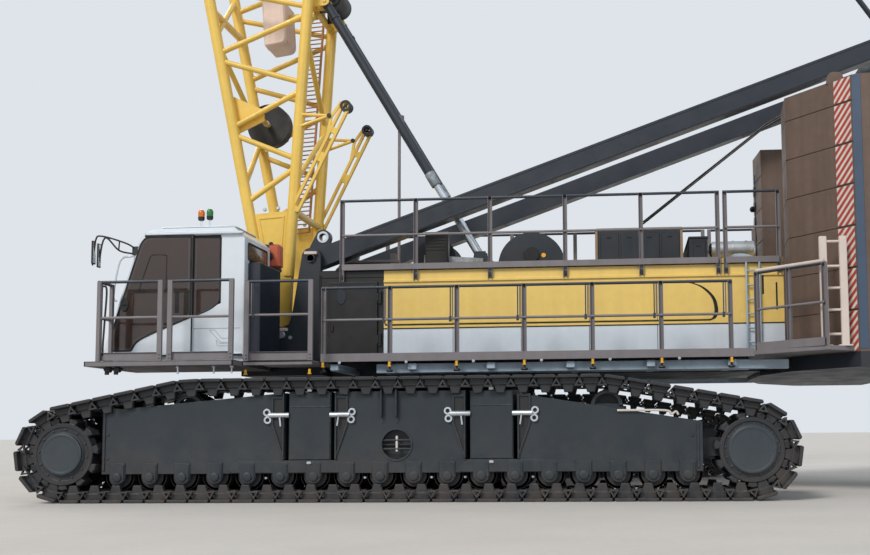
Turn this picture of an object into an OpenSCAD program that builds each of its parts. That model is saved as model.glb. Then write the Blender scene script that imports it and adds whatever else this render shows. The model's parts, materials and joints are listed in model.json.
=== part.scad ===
// Crawler crane with a lattice boom, 400 t class.
// +X is the front, +Y the crane's left (cab) side, +Z up.
// The origin lies on the ground under the slewing axis.

/* [Tracks] */
// Distance between the two track centre lines
track_gauge = 7200; // [6900:50:7600]
// Width of a track shoe
shoe_w = 1200; // [1100:20:1300]
// Distance between idler and drive tumbler axles
wheelbase = 8700; // [8500:20:9000]
// Length of one shoe along the track
shoe_pitch = 279; // [272:1:286]
// Depth of a shoe below its pin line
shoe_below = 120; // [105:5:130]
// Height of the pin line on the upper run
upper_run_z = 1440; // [1420:5:1470]
// Bottom rollers on each side
roller_count = 18; // [16:1:18]
// Diameter of a bottom roller
roller_d = 360; // [330:5:370]
// Width of a track frame over its side plates
frame_w = 880; // [820:10:940]
// Thickness of a track frame's side plates
frame_plate = 40; // [30:5:60]

/* [Carbody] */
// Distance of each cross beam from the slewing axis
beam_x = 1155; // [1100:5:1200]
// Width of a cross beam
beam_w = 540; // [480:10:600]
// Height of the cross beams above the ground
beam_top = 1380; // [1340:10:1400]
// Outer diameter of the slewing ring
ring_d = 2700; // [2400:20:2800]

/* [Superstructure] */
// Height of the underside of the slewing platform
platform_z = 1700; // [1680:5:1720]
// Width of the machinery house over its side walls
house_w = 3100; // [3060:10:3160]
// Height of the house roof above the ground
house_top = 3280; // [3240:10:3300]
// Distance of the house's rear wall from the slewing axis
house_rear = 5140; // [5000:20:5180]
// Thickness of the house walls
house_wall = 40; // [30:5:50]
// Height of the line between the white and yellow bands
band_z = 2500; // [2400:10:2550]
// Height of the side walkway's floor
walk_z = 1980; // [1960:5:1990]
// Distance of the side walkway's rail from the middle
walk_y = 2400; // [2380:5:2450]
// Height of a guard rail above its floor
rail_h = 1000; // [950:10:1050]
// Diameter of a guard rail tube
rail_d = 42; // [36:2:48]

/* [Cab] */
// Width of the cab
cab_w = 1100; // [1060:10:1120]
// Rear wall of the cab in front of the slewing axis
cab_rear = 2540; // [2500:10:2560]
// Height of the cab roof above the ground
cab_top = 3800; // [3760:10:3840]
// Thickness of the cab walls
cab_wall = 50; // [40:5:60]
// Thickness of the cab door
door_t = 36; // [30:2:44]

/* [Boom] */
// Angle of the boom above horizontal
boom_angle = 86; // [85:0.5:86]
// Length of the tapered foot section
foot_len = 7600; // [7500:50:7900]
// Length of the parallel middle section
mid_len = 6000; // [4500:750:9000]
// Length of the tapered head section
head_len = 7400; // [7000:100:7800]
// Width of the boom between chord centres
boom_width = 1440; // [1420:10:1480]
// Diameter of a main chord tube
chord_d = 180; // [160:2:190]
// Diameter of a lacing tube
lace_d = 89; // [76:1:100]
// Depth from the boom head's sheaves down to the hook block
hook_drop = 4200; // [3600:100:5000]

/* [A-frame] */
// Angle of the A-frame above horizontal
a_angle = 19.5; // [19:0.5:21]
// Length of the A-frame from foot pin to head pin
a_len = 10100; // [9900:50:10300]
// Depth of an A-frame arm
a_depth = 300; // [280:10:360]
// Width of an A-frame arm
a_width = 260; // [220:10:270]

/* [Counterweight] */
// Height of one counterweight slab
slab_h = 562; // [540:2:570]
// Full slabs in each stack
slab_count = 6; // [4:1:6]
// Height of the top slab on the left stack
top_slab_left = 340; // [200:10:400]
// Height of the top slab on the right stack
top_slab_right = 450; // [300:10:600]
// Width over both counterweight stacks
cw_w = 6200; // [6000:50:6400]
// Distance of the counterweight's rear face from the slewing axis
cw_rear = 7150; // [7000:50:7400]

/* [Hidden] */
$fn = 48;

// Colours as seen
c_dark = [0.15, 0.17, 0.20];
c_yellow = [0.93, 0.74, 0.24];
c_white = [0.88, 0.89, 0.90];
c_navy = [0.13, 0.17, 0.22];
c_rail = [0.42, 0.38, 0.36];
c_frame = [0.70, 0.75, 0.80];
c_black = [0.05, 0.05, 0.06];
c_weight = [0.35, 0.30, 0.27];
c_steel = [0.66, 0.67, 0.68];
c_glass = [0.20, 0.13, 0.10, 0.6];

// Clearances
seat_gap = 0.3;
post_w = 64;
toe_t = 12;
side_gap = 8;
bearing_gap = 0.3;

// Track loop
tumbler_faces = 11;
wrap_links = 5;
bottom_links = round(wheelbase / shoe_pitch);
link_pitch = wheelbase / bottom_links;
face_angle = 360 / tumbler_faces;
pin_r = link_pitch / (2 * sin(face_angle / 2));
axle_x = wheelbase / 2;
axle_z = shoe_below + pin_r;
rail_in = 30;
carrier_x = [axle_x - 1590, -axle_x + 1760];
function front_wrap(k) = [axle_x + pin_r * sin(k * face_angle), axle_z - pin_r * cos(k * face_angle)];
function rear_wrap(k) = [-front_wrap(k).x, front_wrap(k).y];
upper_path = [
    front_wrap(wrap_links), [carrier_x[0], upper_run_z], [carrier_x[1], upper_run_z], rear_wrap(wrap_links)
];
leg = [for (i = [0:2]) norm(upper_path[i + 1] - upper_path[i])];
upper_len = leg[0] + leg[1] + leg[2];
upper_links = round(upper_len / link_pitch);
function between(a, b, t) = a + (b - a) * t;
function upper_point(s) =
    s < leg[0] ? between(upper_path[0], upper_path[1], s / leg[0]) :
    s < leg[0] + leg[1] ? between(upper_path[1], upper_path[2], (s - leg[0]) / leg[1]) :
    between(upper_path[2], upper_path[3], (s - leg[0] - leg[1]) / leg[2]);
pins = concat(
    [for (k = [0:bottom_links - 1]) [-axle_x + k * link_pitch, shoe_below]],
    [for (k = [0:wrap_links - 1]) front_wrap(k)],
    [for (k = [0:upper_links - 1]) upper_point(k * upper_len / upper_links)],
    [for (k = [wrap_links:-1:1]) rear_wrap(k)]
);
// Points of one link: share of the pitch, distance outwards from the pin line
shoe_profile = [[0.03, 52], [0.10, shoe_below], [0.90, shoe_below], [0.97, 52]];
lug_profile = [[0.06, 12], [0.20, -rail_in], [0.80, -rail_in], [0.94, 12]];
function link_points(i, profile) =
    let (a = pins[i], b = pins[(i + 1) % len(pins)], t = (b - a) / norm(b - a), out = [t.y, -t.x])
    [for (q = profile) a + (b - a) * q.x + out * q.y];
function loop_points(profile) = [for (i = [0:len(pins) - 1]) each link_points(i, profile)];

// Track frames
frame_y = track_gauge / 2;
frame_bottom = 360;
roller_z = shoe_below + rail_in + roller_d / 2;
channel_top = roller_z + roller_d / 2 + 20;
roller_shift = 37;
roller_room = 738;
roller_pitch = (wheelbase - 2 * roller_room) / (roller_count - 1);
roller_x = [for (i = [0:roller_count - 1]) roller_shift + (i - (roller_count - 1) / 2) * roller_pitch];
beam_bottom = 520;
beam_end = frame_y + frame_w / 2;
pocket_gap = 55;
carrier_r = 90;
carrier_drop = 14;
hub_r = [270, 295];
axle_d = 160;
hole_x = 45;
yoke_half = 240;
yoke_z = [-80, 150];
wheel_y = [270, 500];
cap_top = 556;
frame_end = [axle_x - 490, -axle_x + 590];

// Platform and slewing ring
ring_z = [1490, 1600];
platform_top = 1970;
platform_front = 2960;
platform_half = 1060;
deck_plate_top = 1850;
tail_x = -4840;

// Boom foot and A-frame foot pins, in the side plane
foot_pin = [2646, 2385];
a_pin = [1998, 3575];
foot_pin_r = 85;
a_pin_r = 70;
a_eye_r = 150;
bracket_y = [1050, 1170];
inner_bracket_y = [500, 620];
chord_y = boom_width / 2;
a_arm_y = bracket_y[0] - 20 - a_width / 2;

// Boom outline: half depth at a height along the boom
half_foot = 95;
taper = 0.1306;
function half_depth(u) = half_foot + taper * u;
half_full = half_depth(foot_len);
boom_len = foot_len + mid_len + head_len;
head_half = 330;
head_y = 480;
function head_v(u) = between(half_full, head_half, (u - foot_len - mid_len) / head_len);
function head_w(u) = between(chord_y, head_y, (u - foot_len - mid_len) / head_len);
lace_start = 2140;
lace_gap = 66;
face_start = 2390;
lace_step = 625;
web_u = [1060, 2000];
lug_top = 1150;
shaft_half = chord_y - 100;
sheave_guide = [161, 3625];
backstop_u = 5450;
backstop_v = -1040;
backstop_y = 500;
backstop_foot = [-557, 3606];
backstop_tube_d = 150;
backstop_rod_d = 112;
backstop_tube_len = 3600;
lug_off = backstop_tube_d / 2 + 20;

// A-frame head and stays
function side_dir(angle) = [cos(angle), sin(angle)];
function boom_point(u, v) = foot_pin + u * side_dir(boom_angle) + v * side_dir(boom_angle - 90);
a_head = a_pin + a_len * side_dir(180 - a_angle);
stay_y = 560;
stay_t = 60;
stay_bar = 90;
head_pin_r = 80;
a_lug = [235, 285];
a_below = 167;
a_lug_out = 120;
a_root_r = 160;
a_lug_r = 55;
stay_eye = boom_point(boom_len, -550);
backstop_top = boom_point(backstop_u, backstop_v);

// Counterweight
cw_base = [1670, 1870];
cw_tip_y = 900;
seam_h = 14;
cw_inner = [-5200, 1300];
cw_front = [-5150, 2050];
cw_side = [-5900, 3050];
cw_corner = [-6000, cw_w / 2];

// Helpers
// A plate drawn in the side plane (X, Z) that reaches from y0 to y1
module side_plate(y0, y1) {
    translate([0, y1, 0]) rotate([90, 0, 0]) linear_extrude(y1 - y0) children();
}
// A block between two corners
module block(a, b) {
    translate(a) cube(b - a);
}
// A round bar from a to b
module bar(a, b, d) {
    v = b - a;
    translate(a) rotate([0, acos(v.z / norm(v)), atan2(v.y, v.x)])
        rotate([0, 0, 37]) cylinder(h = norm(v), d = d);
}
// A round bar or bore across the machine at a point of the side plane
module cross_bar(p, y0, y1, d) {
    translate([p.x, y1, p.y]) rotate([90, 0, 0]) cylinder(h = y1 - y0, d = d);
}
module both_sides() {
    children();
    mirror([0, 1, 0]) children();
}
// The boom's own frame: x forward of its axis, z along it from the foot pin
module along_boom() {
    translate([foot_pin.x, 0, foot_pin.y]) rotate([0, 90 - boom_angle, 0]) children();
}
// The A-frame's own frame: x from its foot pin to its head
module along_a_frame() {
    translate([a_pin.x, 0, a_pin.y]) rotate([0, -a_angle, 180]) children();
}

// Undercarriage
module carbody() {
    color(c_dark) {
        difference() {
            union() {
                block([-1500, -1700, 720], [1500, 1700, 1400]);
                for (s = [-1, 1])
                    block([s * beam_x - beam_w / 2, -beam_end + 10, beam_bottom],
                          [s * beam_x + beam_w / 2, beam_end - 10, beam_top]);
                translate([0, 0, 1380]) cylinder(h = ring_z[0] - 1380, d = ring_d - 120);
            }
            translate([0, 0, 600]) cylinder(h = 1200, d = 900);
        }
    }
}

module slew_ring() {
    color(c_steel) difference() {
        translate([0, 0, ring_z[0]]) cylinder(h = ring_z[1] - ring_z[0], d = ring_d, $fn = 96);
        translate([0, 0, ring_z[0] - 10]) cylinder(h = ring_z[1] - ring_z[0] + 20, d = ring_d - 420);
    }
}

frame_profile = [
    [frame_end[0], frame_bottom], [frame_end[0], 1165], [1400, beam_top], [-1200, beam_top],
    [frame_end[1], 970], [frame_end[1], frame_bottom]
];
// One track frame on the left side: box beam, roller channel, pockets for the cross beams
module track_frame() {
    y0 = frame_y - frame_w / 2;
    y1 = frame_y + frame_w / 2;
    color(c_dark) difference() {
        union() {
            side_plate(y0, y1) polygon(frame_profile);
            for (s = [y0, y1 - frame_plate])
                side_plate(s, s + frame_plate) {
                    for (x = roller_x) translate([x, roller_z]) circle(105);
                    for (x = roller_x) translate([x - 105, roller_z]) square([210, frame_bottom - roller_z + 20]);
                }
            // Yokes that carry the idler and the drive tumbler
            side_plate(frame_y - yoke_half, frame_y + yoke_half)
                for (s = [-1, 1]) {
                    translate([s * (axle_x - 400) - 400, axle_z + yoke_z[0]]) square([800, yoke_z[1] - yoke_z[0]]);
                    translate([s * axle_x, axle_z]) circle(200);
                }
            for (x = carrier_x)
                side_plate(frame_y - 160, frame_y + 160)
                    translate([x, upper_run_z - rail_in - 2 * carrier_r - 60]) {
                        circle(190);
                        translate([-240, -160]) square([480, 160]);
                    }
        }
        block([frame_end[1] - 10, y0 + frame_plate, 200], [frame_end[0] + 10, y1 - frame_plate, channel_top]);
        for (s = [-1, 1])
            block([s * beam_x - beam_w / 2 - pocket_gap, y0 - 10, beam_bottom],
                  [s * beam_x + beam_w / 2 + pocket_gap, y1 + 10, 1500]);
        for (x = carrier_x)
            block([x - carrier_r - 20, frame_y - 120, upper_run_z - rail_in - 2 * carrier_r - 20],
                  [x + carrier_r + 20, frame_y + 120, upper_run_z]);
        cross_bar([hole_x, 710], y1 - 120, y1 + 10, 370);
        for (x = [-axle_x, axle_x]) cross_bar([x, axle_z], y0 - 10, y1 + 10, axle_d);
    }
    // Cross bars in the round opening
    color(c_dark) block([hole_x - 190, y1 - 125, 700], [hole_x + 190, y1 - 60, 720]);
}
module track_frame_left() { track_frame(); }
module track_frame_right() { mirror([0, 1, 0]) track_frame(); }

module track() {
    color(c_dark) side_plate(frame_y - shoe_w / 2, frame_y + shoe_w / 2) difference() {
        polygon(loop_points(shoe_profile));
        polygon(loop_points(lug_profile));
    }
}
module track_left() { track(); }
module track_right() { mirror([0, 1, 0]) track(); }

module track_rollers() {
    inner = frame_w / 2 - frame_plate;
    color(c_dark) both_sides() translate([0, frame_y, 0]) {
        for (x = roller_x) {
            cross_bar([x, roller_z], -inner, inner, 110);
            cross_bar([x, roller_z], -inner + 40, inner - 40, roller_d - 2 * seat_gap);
        }
        for (x = carrier_x)
            cross_bar([x, upper_run_z - rail_in - carrier_r - carrier_drop], -120, 120, 2 * carrier_r);
    }
}

// A wheel whose flats lie against the links, with a notch in the middle of each flat
wheel_r = pin_r - (rail_in + seat_gap) / cos(face_angle / 2);
notch = [66, 85];
function wheel_corner(k) = wheel_r * [sin(k * face_angle), -cos(k * face_angle)];
wheel_points = [
    for (k = [0:tumbler_faces - 1])
        let (a = wheel_corner(k), b = wheel_corner(k + 1), m = (a + b) / 2)
        let (t = (b - a) / norm(b - a), n = [-t.y, t.x])
        each [a, m - t * notch.x, m - t * notch.x + n * notch.y, m + t * notch.x + n * notch.y, m + t * notch.x]
];
// Two discs on one axle with end caps; s is 1 at the front and -1 at the rear
module wheel_pair(s, cap_r) {
    color(c_dark) both_sides() translate([s * axle_x, frame_y, axle_z]) {
        for (y = [wheel_y[0], -wheel_y[1]])
            side_plate(y, y + wheel_y[1] - wheel_y[0]) polygon([for (q = wheel_points) [s * q.x, q.y]]);
        cross_bar([0, 0], -wheel_y[1], wheel_y[1], axle_d - 2 * seat_gap);
        for (y = [wheel_y[1] - 10, -cap_top]) cross_bar([0, 0], y, y + cap_top - wheel_y[1] + 10, 2 * cap_r);
    }
}
module drive_tumblers() { wheel_pair(-1, hub_r[1]); }
module idlers() { wheel_pair(1, hub_r[0]); }

// Superstructure
bracket_profile = [
    [a_pin.x - a_eye_r, deck_plate_top - 10], [a_pin.x - a_eye_r, a_pin.y], [a_pin.x + a_eye_r, a_pin.y],
    [2280, 2742], [2335, 2540], [2430, 2500], [2875, 2500], [2875, deck_plate_top - 10]
];
module platform() {
    color(c_dark) {
        difference() {
            union() {
                block([tail_x, -platform_half, platform_z + 30], [platform_front, platform_half, platform_top]);
                block([1700, -1490, platform_z + 30], [platform_front, 1490, deck_plate_top]);
                translate([0, 0, ring_z[1] + bearing_gap])
                    cylinder(h = platform_z + 38 - ring_z[1] - bearing_gap, d = ring_d - 160, $fn = 96);
            }
            translate([0, 0, 1500]) cylinder(h = 600, d = 700);
        }
        both_sides() {
            side_plate(bracket_y[0], bracket_y[1]) {
                polygon(bracket_profile);
                translate(a_pin) circle(a_eye_r);
            }
            side_plate(inner_bracket_y[0], inner_bracket_y[1]) {
                translate([foot_pin.x - 280, platform_top - 10]) square([510, foot_pin.y - platform_top + 10]);
                translate(foot_pin) circle(220);
            }
            cross_bar(foot_pin, inner_bracket_y[0] - 30, bracket_y[1] + 40, 2 * foot_pin_r);
            cross_bar(a_pin, bracket_y[0] - a_width - 60, bracket_y[1] + 40, 2 * a_pin_r);
        }
    }
}

// Square posts at the points, with a middle tube, a top tube and a toe board from the first to the last
module guard_rail(points, height, mid, d, toe) {
    for (p = points)
        block(p - [post_w / 2, post_w / 2, 0], p + [post_w / 2, post_w / 2, height]);
    for (i = [0:len(points) - 2]) {
        run = points[i + 1] - points[i];
        for (z = [mid, height - d / 2]) bar(points[i] + [0, 0, z], points[i + 1] + [0, 0, z], d);
        translate(points[i] + [0, 0, toe[0]]) rotate([0, 0, atan2(run.y, run.x)])
            translate([0, -toe_t / 2, 0]) cube([norm(run), toe_t, toe[1] - toe[0]]);
    }
}

walk_rear = -4600;
step_z = 1870;
step_x = [1500, 2480];
step_y = 2750;
bracket_pitch = 1120;
module walkways() {
    color(c_frame) both_sides() {
        block([walk_rear, house_w / 2 + 10, walk_z - 40], [1480, walk_y + 30, walk_z]);
        block([walk_rear, walk_y - 30, walk_z - 140], [1480, walk_y + 30, walk_z - 40]);
        for (i = [0:5], x = 1300 - i * bracket_pitch) {
            block([x - 60, platform_half, platform_z + 40], [x + 60, walk_y, platform_z + 140]);
            block([x - 60, walk_y - 60, platform_z + 140], [x + 60, walk_y - 30, walk_z - 40]);
        }
        // Long beam that the brackets carry
        block([walk_rear, walk_y - 200, platform_z], [house_front_x - 60, walk_y - 120, platform_z + 140]);
        // Step platform beside the boom foot
        block([step_x[0], 1500, step_z - 60], [step_x[1], step_y + 30, step_z]);
    }
}

walk_post_pitch = 955;
walk_posts = [for (i = [0:6]) 1445 - i * walk_post_pitch];
module walkway_rails() {
    color(c_rail) both_sides() {
        guard_rail([for (x = walk_posts) [x, walk_y, walk_z]], rail_h - 40, 480, rail_d, [10, 110]);
        guard_rail([for (x = [step_x[0] + 34, step_x[1] - 34]) [x, step_y - 4, step_z]],
                   rail_h + 60, 560, rail_d, [10, 130]);
    }
}

house_front_x = 770;
toe_z = [3370, 3500];
front_box_x = 1760;
module house_lower() {
    color(c_white) difference() {
        block([-house_rear, -house_w / 2, platform_top], [house_front_x, house_w / 2, band_z]);
        block([-house_rear + house_wall, -house_w / 2 + house_wall, platform_top - 10],
              [house_front_x - house_wall, house_w / 2 - house_wall, band_z + 10]);
    }
}
module house_upper() {
    color(c_yellow) difference() {
        block([-house_rear, -house_w / 2, band_z], [house_front_x, house_w / 2, house_top]);
        block([-house_rear + house_wall, -house_w / 2 + house_wall, band_z - 10],
              [house_front_x - house_wall, house_w / 2 - house_wall, house_top - house_wall]);
    }
    // Raised edges of the roof
    color(c_yellow) both_sides()
        block([-house_rear, house_w / 2 - house_wall, house_top - 10], [house_front_x, house_w / 2, toe_z[0]]);
}
door_x = [860, 1600];
door_z = [2010, 3120];
hinge_pos = [822, house_w / 2 + 30];
hinge_z = [2250, 2880];
module house_front() {
    color(c_black) both_sides() difference() {
        block([house_front_x, 900, platform_top], [front_box_x, house_w / 2, house_top]);
        block([house_front_x + house_wall, 900 + house_wall, platform_top + house_wall],
              [front_box_x - house_wall, house_w / 2 - house_wall, house_top - house_wall]);
        block([door_x[0] + 50, house_w / 2 - house_wall - 10, door_z[0] + 50],
              [door_x[1] - 50, house_w / 2 + 10, door_z[1] - 50]);
    }
    // Hinge pins of the door
    color(c_black) for (z = hinge_z) {
        for (s = [-1, 1])
            block([hinge_pos.x - 20, house_w / 2, z + s * 80 - 15],
                  [hinge_pos.x + 20, hinge_pos.y + 20, z + s * 80 + 15]);
        translate([hinge_pos.x, hinge_pos.y, z - 80]) cylinder(h = 160, d = 20);
    }
}
module house_door() {
    color(c_black) difference() {
        union() {
            block([door_x[0], house_w / 2 + side_gap, door_z[0]],
                  [door_x[1], house_w / 2 + side_gap + 30, door_z[1]]);
            for (z = hinge_z) {
                translate([hinge_pos.x, hinge_pos.y, z - 60]) cylinder(h = 120, d = 44);
                block([hinge_pos.x, hinge_pos.y - 10, z - 60], [door_x[0] + 20, hinge_pos.y + 10, z + 60]);
            }
        }
        for (z = hinge_z) translate([hinge_pos.x, hinge_pos.y, z - 100]) cylinder(h = 200, d = 20 + 2 * seat_gap);
    }
}
module engine() {
    color(c_steel) block([-3700, -450, platform_top], [-1700, 450, 3000]);
}

deck_z = house_top;
deck_post_z = 3150;
deck_post_pitch = 1120;
deck_rail_y = house_w / 2 + post_w / 2;
module deck_rails() {
    toe = [toe_z[0] - deck_post_z, toe_z[1] - deck_post_z];
    color(c_rail) both_sides() {
        guard_rail([for (i = [0:5]) [1400 - i * deck_post_pitch, deck_rail_y, deck_post_z]],
                   1230, 750, rail_d, toe);
        guard_rail([for (x = [-4310, -house_rear + 60]) [x, deck_rail_y, deck_post_z]], 1230, 680, rail_d, toe);
    }
}
hoist_half = 600;
hoist_flange_r = 330;
hoist_drum_r = 230;
luffing_half = 320;
luffing_flange_r = 320;
luffing_drum_r = 220;
flange_half = 25;
winch_shaft_d = 120;
winch_stand_t = 40;
hoist_guard_r = 525;
hoist_guard_z = 3455;
luffing_guard_r = 345;
hoist_pos = [-1380, deck_z + hoist_flange_r + 10];
luffing_pos = [200, deck_z + luffing_flange_r + 30];
box_half = 900;
cooler_x = [-3710, -2410];
cooler_h = 685;
filter_x = [-4100, -3820];
filter_h = 530;
module deck_gear() {
    color(c_dark) {
        block([cooler_x[0], -box_half, deck_z], [cooler_x[1], box_half, deck_z + cooler_h]);
        block([filter_x[0], -box_half, deck_z], [filter_x[1], box_half, deck_z + filter_h]);
        // Feet of the back-stop rods
        f = backstop_foot;
        both_sides() for (s = [-1, 1])
            side_plate(backstop_y + s * lug_off - 12, backstop_y + s * lug_off + 12)
                polygon([[f.x - 150, deck_z], [f.x + 150, deck_z], [f.x + 90, f.y + 100], [f.x - 90, f.y + 100]]);
    }
}
// Two half-round side plates with the shaft of a winch between them
module winch_stand(p, half, r, z) {
    y = half + flange_half + side_gap;
    both_sides() side_plate(y, y + winch_stand_t) difference() {
        translate([p.x, z]) circle(r);
        translate([p.x - r, z - 2 * r]) square([2 * r, deck_z - z + 2 * r]);
    }
    cross_bar(p, -y - winch_stand_t - 20, y + winch_stand_t + 20, winch_shaft_d);
}
module winch_stands() {
    color(c_dark) {
        winch_stand(hoist_pos, hoist_half, hoist_guard_r, hoist_guard_z);
        winch_stand(luffing_pos, luffing_half, luffing_guard_r, luffing_pos.y);
    }
}
silencer_x = [-4830, -4130];
silencer_at = [700, deck_z + 350];
module exhaust() {
    color(c_steel) {
        bar([silencer_x[0], silencer_at.x, silencer_at.y], [silencer_x[1], silencer_at.x, silencer_at.y], 260);
        bar([silencer_x[0] + 230, silencer_at.x, deck_z], [silencer_x[0] + 230, silencer_at.x, silencer_at.y], 120);
    }
}

// Cab
cab_y0 = 1500;
cab_y1 = cab_y0 + cab_w;
cab_profile = [
    [cab_rear, 1870], [4500, 1870], [4580, 2070], [4100, 3600], [4020, cab_top - 60], [3900, cab_top],
    [cab_rear + 160, cab_top], [cab_rear, cab_top - 140]
];
cab_inside = [
    [cab_rear + cab_wall, 1870 + cab_wall], [4455, 1870 + cab_wall], [4520, 2070], [4045, 3585],
    [3980, cab_top - 95], [3890, cab_top - cab_wall], [cab_rear + 180, cab_top - cab_wall],
    [cab_rear + cab_wall, cab_top - 160]
];
window_profile = [[2880, 3660], [2880, 2710], [3240, 2560], [3240, 3660]];
// The door's lower and upper edges, and how far its runners stand out
runner_z = [1990, 3700];
runner_out = side_gap + door_t + 6;
door_opening = [[3340, 2060], [3340, 3640], [3960, 3640], [4020, 3560], [4440, 2200], [4410, 2060]];
door_outline = [
    [3290, runner_z[0]], [3290, runner_z[1]], [3985, runner_z[1]], [4065, 3590], [4500, 2200], [4440, runner_z[0]]
];
door_window = [
    [3350, 2520], [3350, 3635], [3955, 3635], [4015, 3555], [4430, 2210], [4405, 2080],
    [4180, 2080], [4120, 2200], [4010, 2250], [3740, 2340]
];
// Middle of the windscreen and its lean
screen_at = [4340, 0, 2830];
screen_lean = 17.4;
screen_half = 640;
// A block across the cab in the windscreen's own plane, t0 to t1 outwards
module screen(t0, t1) {
    translate(screen_at) rotate([0, -screen_lean, 0])
        block([t0, cab_y0 + 90, -screen_half], [t1, cab_y1 - 90, screen_half]);
}
module cab() {
    color(c_white) difference() {
        side_plate(cab_y0, cab_y1) polygon(cab_profile);
        side_plate(cab_y0 + cab_wall, cab_y1 - cab_wall) polygon(cab_inside);
        side_plate(cab_y1 - cab_wall - 10, cab_y1 + 10) {
            polygon(window_profile);
            polygon(door_opening);
        }
        side_plate(cab_y0 - 10, cab_y0 + cab_wall + 10) polygon(door_window);
        screen(-150, 150);
        // Rear window
        block([cab_rear - 10, cab_y0 + 200, 2700], [cab_rear + cab_wall + 10, cab_y1 - 200, 3500]);
    }
    // Runners of the sliding door
    color(c_black) {
        block([cab_rear + 20, cab_y1, runner_z[1] + bearing_gap], [3990, cab_y1 + runner_out, runner_z[1] + 35]);
        block([cab_rear + 20, cab_y1, runner_z[0] - 40], [4480, cab_y1 + runner_out, runner_z[0] - bearing_gap]);
    }
}
glass_t = 10;
module cab_glass() {
    color(c_glass) {
        side_plate(cab_y1 - cab_wall / 2 - glass_t, cab_y1 - cab_wall / 2) polygon(window_profile);
        side_plate(cab_y0 + cab_wall / 2 - glass_t, cab_y0 + cab_wall / 2) polygon(door_window);
        block([cab_rear + cab_wall / 2 - glass_t, cab_y0 + 200, 2700],
              [cab_rear + cab_wall / 2, cab_y1 - 200, 3500]);
        screen(-35, -35 + glass_t);
    }
}
module cab_seat() {
    color(c_black) {
        block([3050, 1800, 1870 + cab_wall], [3450, 2300, 2150]);
        block([3000, 1780, 2150], [3550, 2320, 2300]);
        block([2900, 1800, 2300], [3040, 2300, 3050]);
    }
}
module cab_door() {
    color(c_white) difference() {
        side_plate(cab_y1 + side_gap, cab_y1 + side_gap + door_t) polygon(door_outline);
        side_plate(cab_y1, cab_y1 + side_gap + door_t + 10) polygon(door_window);
    }
}
module cab_door_glass() {
    color(c_glass) side_plate(cab_y1 + side_gap + 12, cab_y1 + side_gap + 12 + glass_t) polygon(door_window);
}
cab_deck = [[2500, 1500, 1800], [4600, 3130, 1870]];
cab_rail_run = 865;
cab_rail_x = cab_deck[1].x - 190 - cab_rail_run;
module cab_platform() {
    y = cab_deck[1].y - post_w / 2;
    z = cab_deck[1].z;
    color(c_rail) {
        block(cab_deck[0], cab_deck[1]);
        for (x = [cab_deck[0].x + 40, cab_rail_x])
            guard_rail([[x, y, z], [x + cab_rail_run, y, z]], rail_h + 100, 640, rail_d, [0, 120]);
    }
}
post_x = [2490, 2940];
post_y = [1240, 1460];
module cab_post() {
    color(c_dark) {
        block([post_x[0], post_y[0], deck_plate_top], [post_x[1], post_y[1], 3400]);
        block([post_x[0] + 10, post_y[0], 3400], [post_x[1] - 80, post_y[1] - 20, 3740]);
    }
}

// Winches
module winch(p, half, flange_r, drum_r) {
    difference() {
        union() {
            cross_bar(p, -half, half, 2 * drum_r);
            for (s = [-1, 1]) cross_bar(p, s * half - flange_half, s * half + flange_half, 2 * flange_r);
        }
        cross_bar(p, -half - 50, half + 50, winch_shaft_d + 2 * seat_gap);
    }
}
module hoist_winch() {
    color(c_dark) winch(hoist_pos, hoist_half, hoist_flange_r, hoist_drum_r);
}
module luffing_winch() {
    color(c_dark) winch(luffing_pos, luffing_half, luffing_flange_r, luffing_drum_r);
}

// Counterweight
module counterweight_plan(inset) {
    back = [-inset, 0];
    polygon([
        cw_inner + back, cw_front + back, cw_side + back, cw_corner + back,
        [-cw_rear, cw_w / 2], [-cw_rear, cw_inner.y]
    ]);
}
module counterweight_base() {
    half = [[tail_x, cw_tip_y], cw_front, cw_side, cw_corner, [-cw_rear, cw_w / 2]];
    color(c_dark) translate([0, 0, cw_base[0]]) linear_extrude(cw_base[1] - cw_base[0])
        polygon(concat(half, [for (i = [len(half) - 1:-1:0]) [half[i].x, -half[i].y]]));
}
// One slab with a groove under its upper edge
module slab(z, h) {
    translate([0, 0, z]) {
        linear_extrude(h - seam_h) counterweight_plan(0);
        translate([0, 0, h - seam_h]) linear_extrude(seam_h) counterweight_plan(seam_h);
    }
}
module counterweight_stack(top_h) {
    color(c_weight) {
        for (i = [0:slab_count - 1]) slab(cw_base[1] + i * slab_h, slab_h);
        translate([0, 0, cw_base[1] + slab_count * slab_h]) linear_extrude(top_h) counterweight_plan(0);
    }
}
module counterweight_left() { counterweight_stack(top_slab_left); }
module counterweight_right() { mirror([0, 1, 0]) counterweight_stack(top_slab_right); }

access_z = [1880, 1940];
access_x = -5120;
access_post = [[-4650, 2400], [-5030, 2800], [-5430, 3220]];
access_corner = access_post[2] + [-40, 60];
access_pole = [cw_side.x + 200, cw_side.y - 20];
module rear_access() {
    color(c_rail) both_sides() {
        translate([0, 0, access_z[0]]) linear_extrude(access_z[1] - access_z[0])
            polygon([
                [walk_rear, house_w / 2 + 10], [access_x, house_w / 2 + 10], [access_x, cw_front.y - 30],
                cw_side + [70, -80], access_corner, [walk_rear, walk_y + 30]
            ]);
        guard_rail([for (p = access_post) [p.x, p.y, access_z[1]]], rail_h + 110, 570, rail_d, [0, 110]);
        guard_rail([[access_pole.x, access_pole.y, access_z[1]]], rail_h + 420, 570, rail_d, [0, 110]);
    }
}
lamp_at = [917, -250];
lamp_top = 6080;
module lamp_pole() {
    color(c_rail) {
        bar([lamp_at.x, lamp_at.y, deck_z], [lamp_at.x, lamp_at.y, lamp_top], 50);
        translate([lamp_at.x, lamp_at.y, lamp_top - 20]) cylinder(h = 120, d = 160);
    }
}

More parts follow.
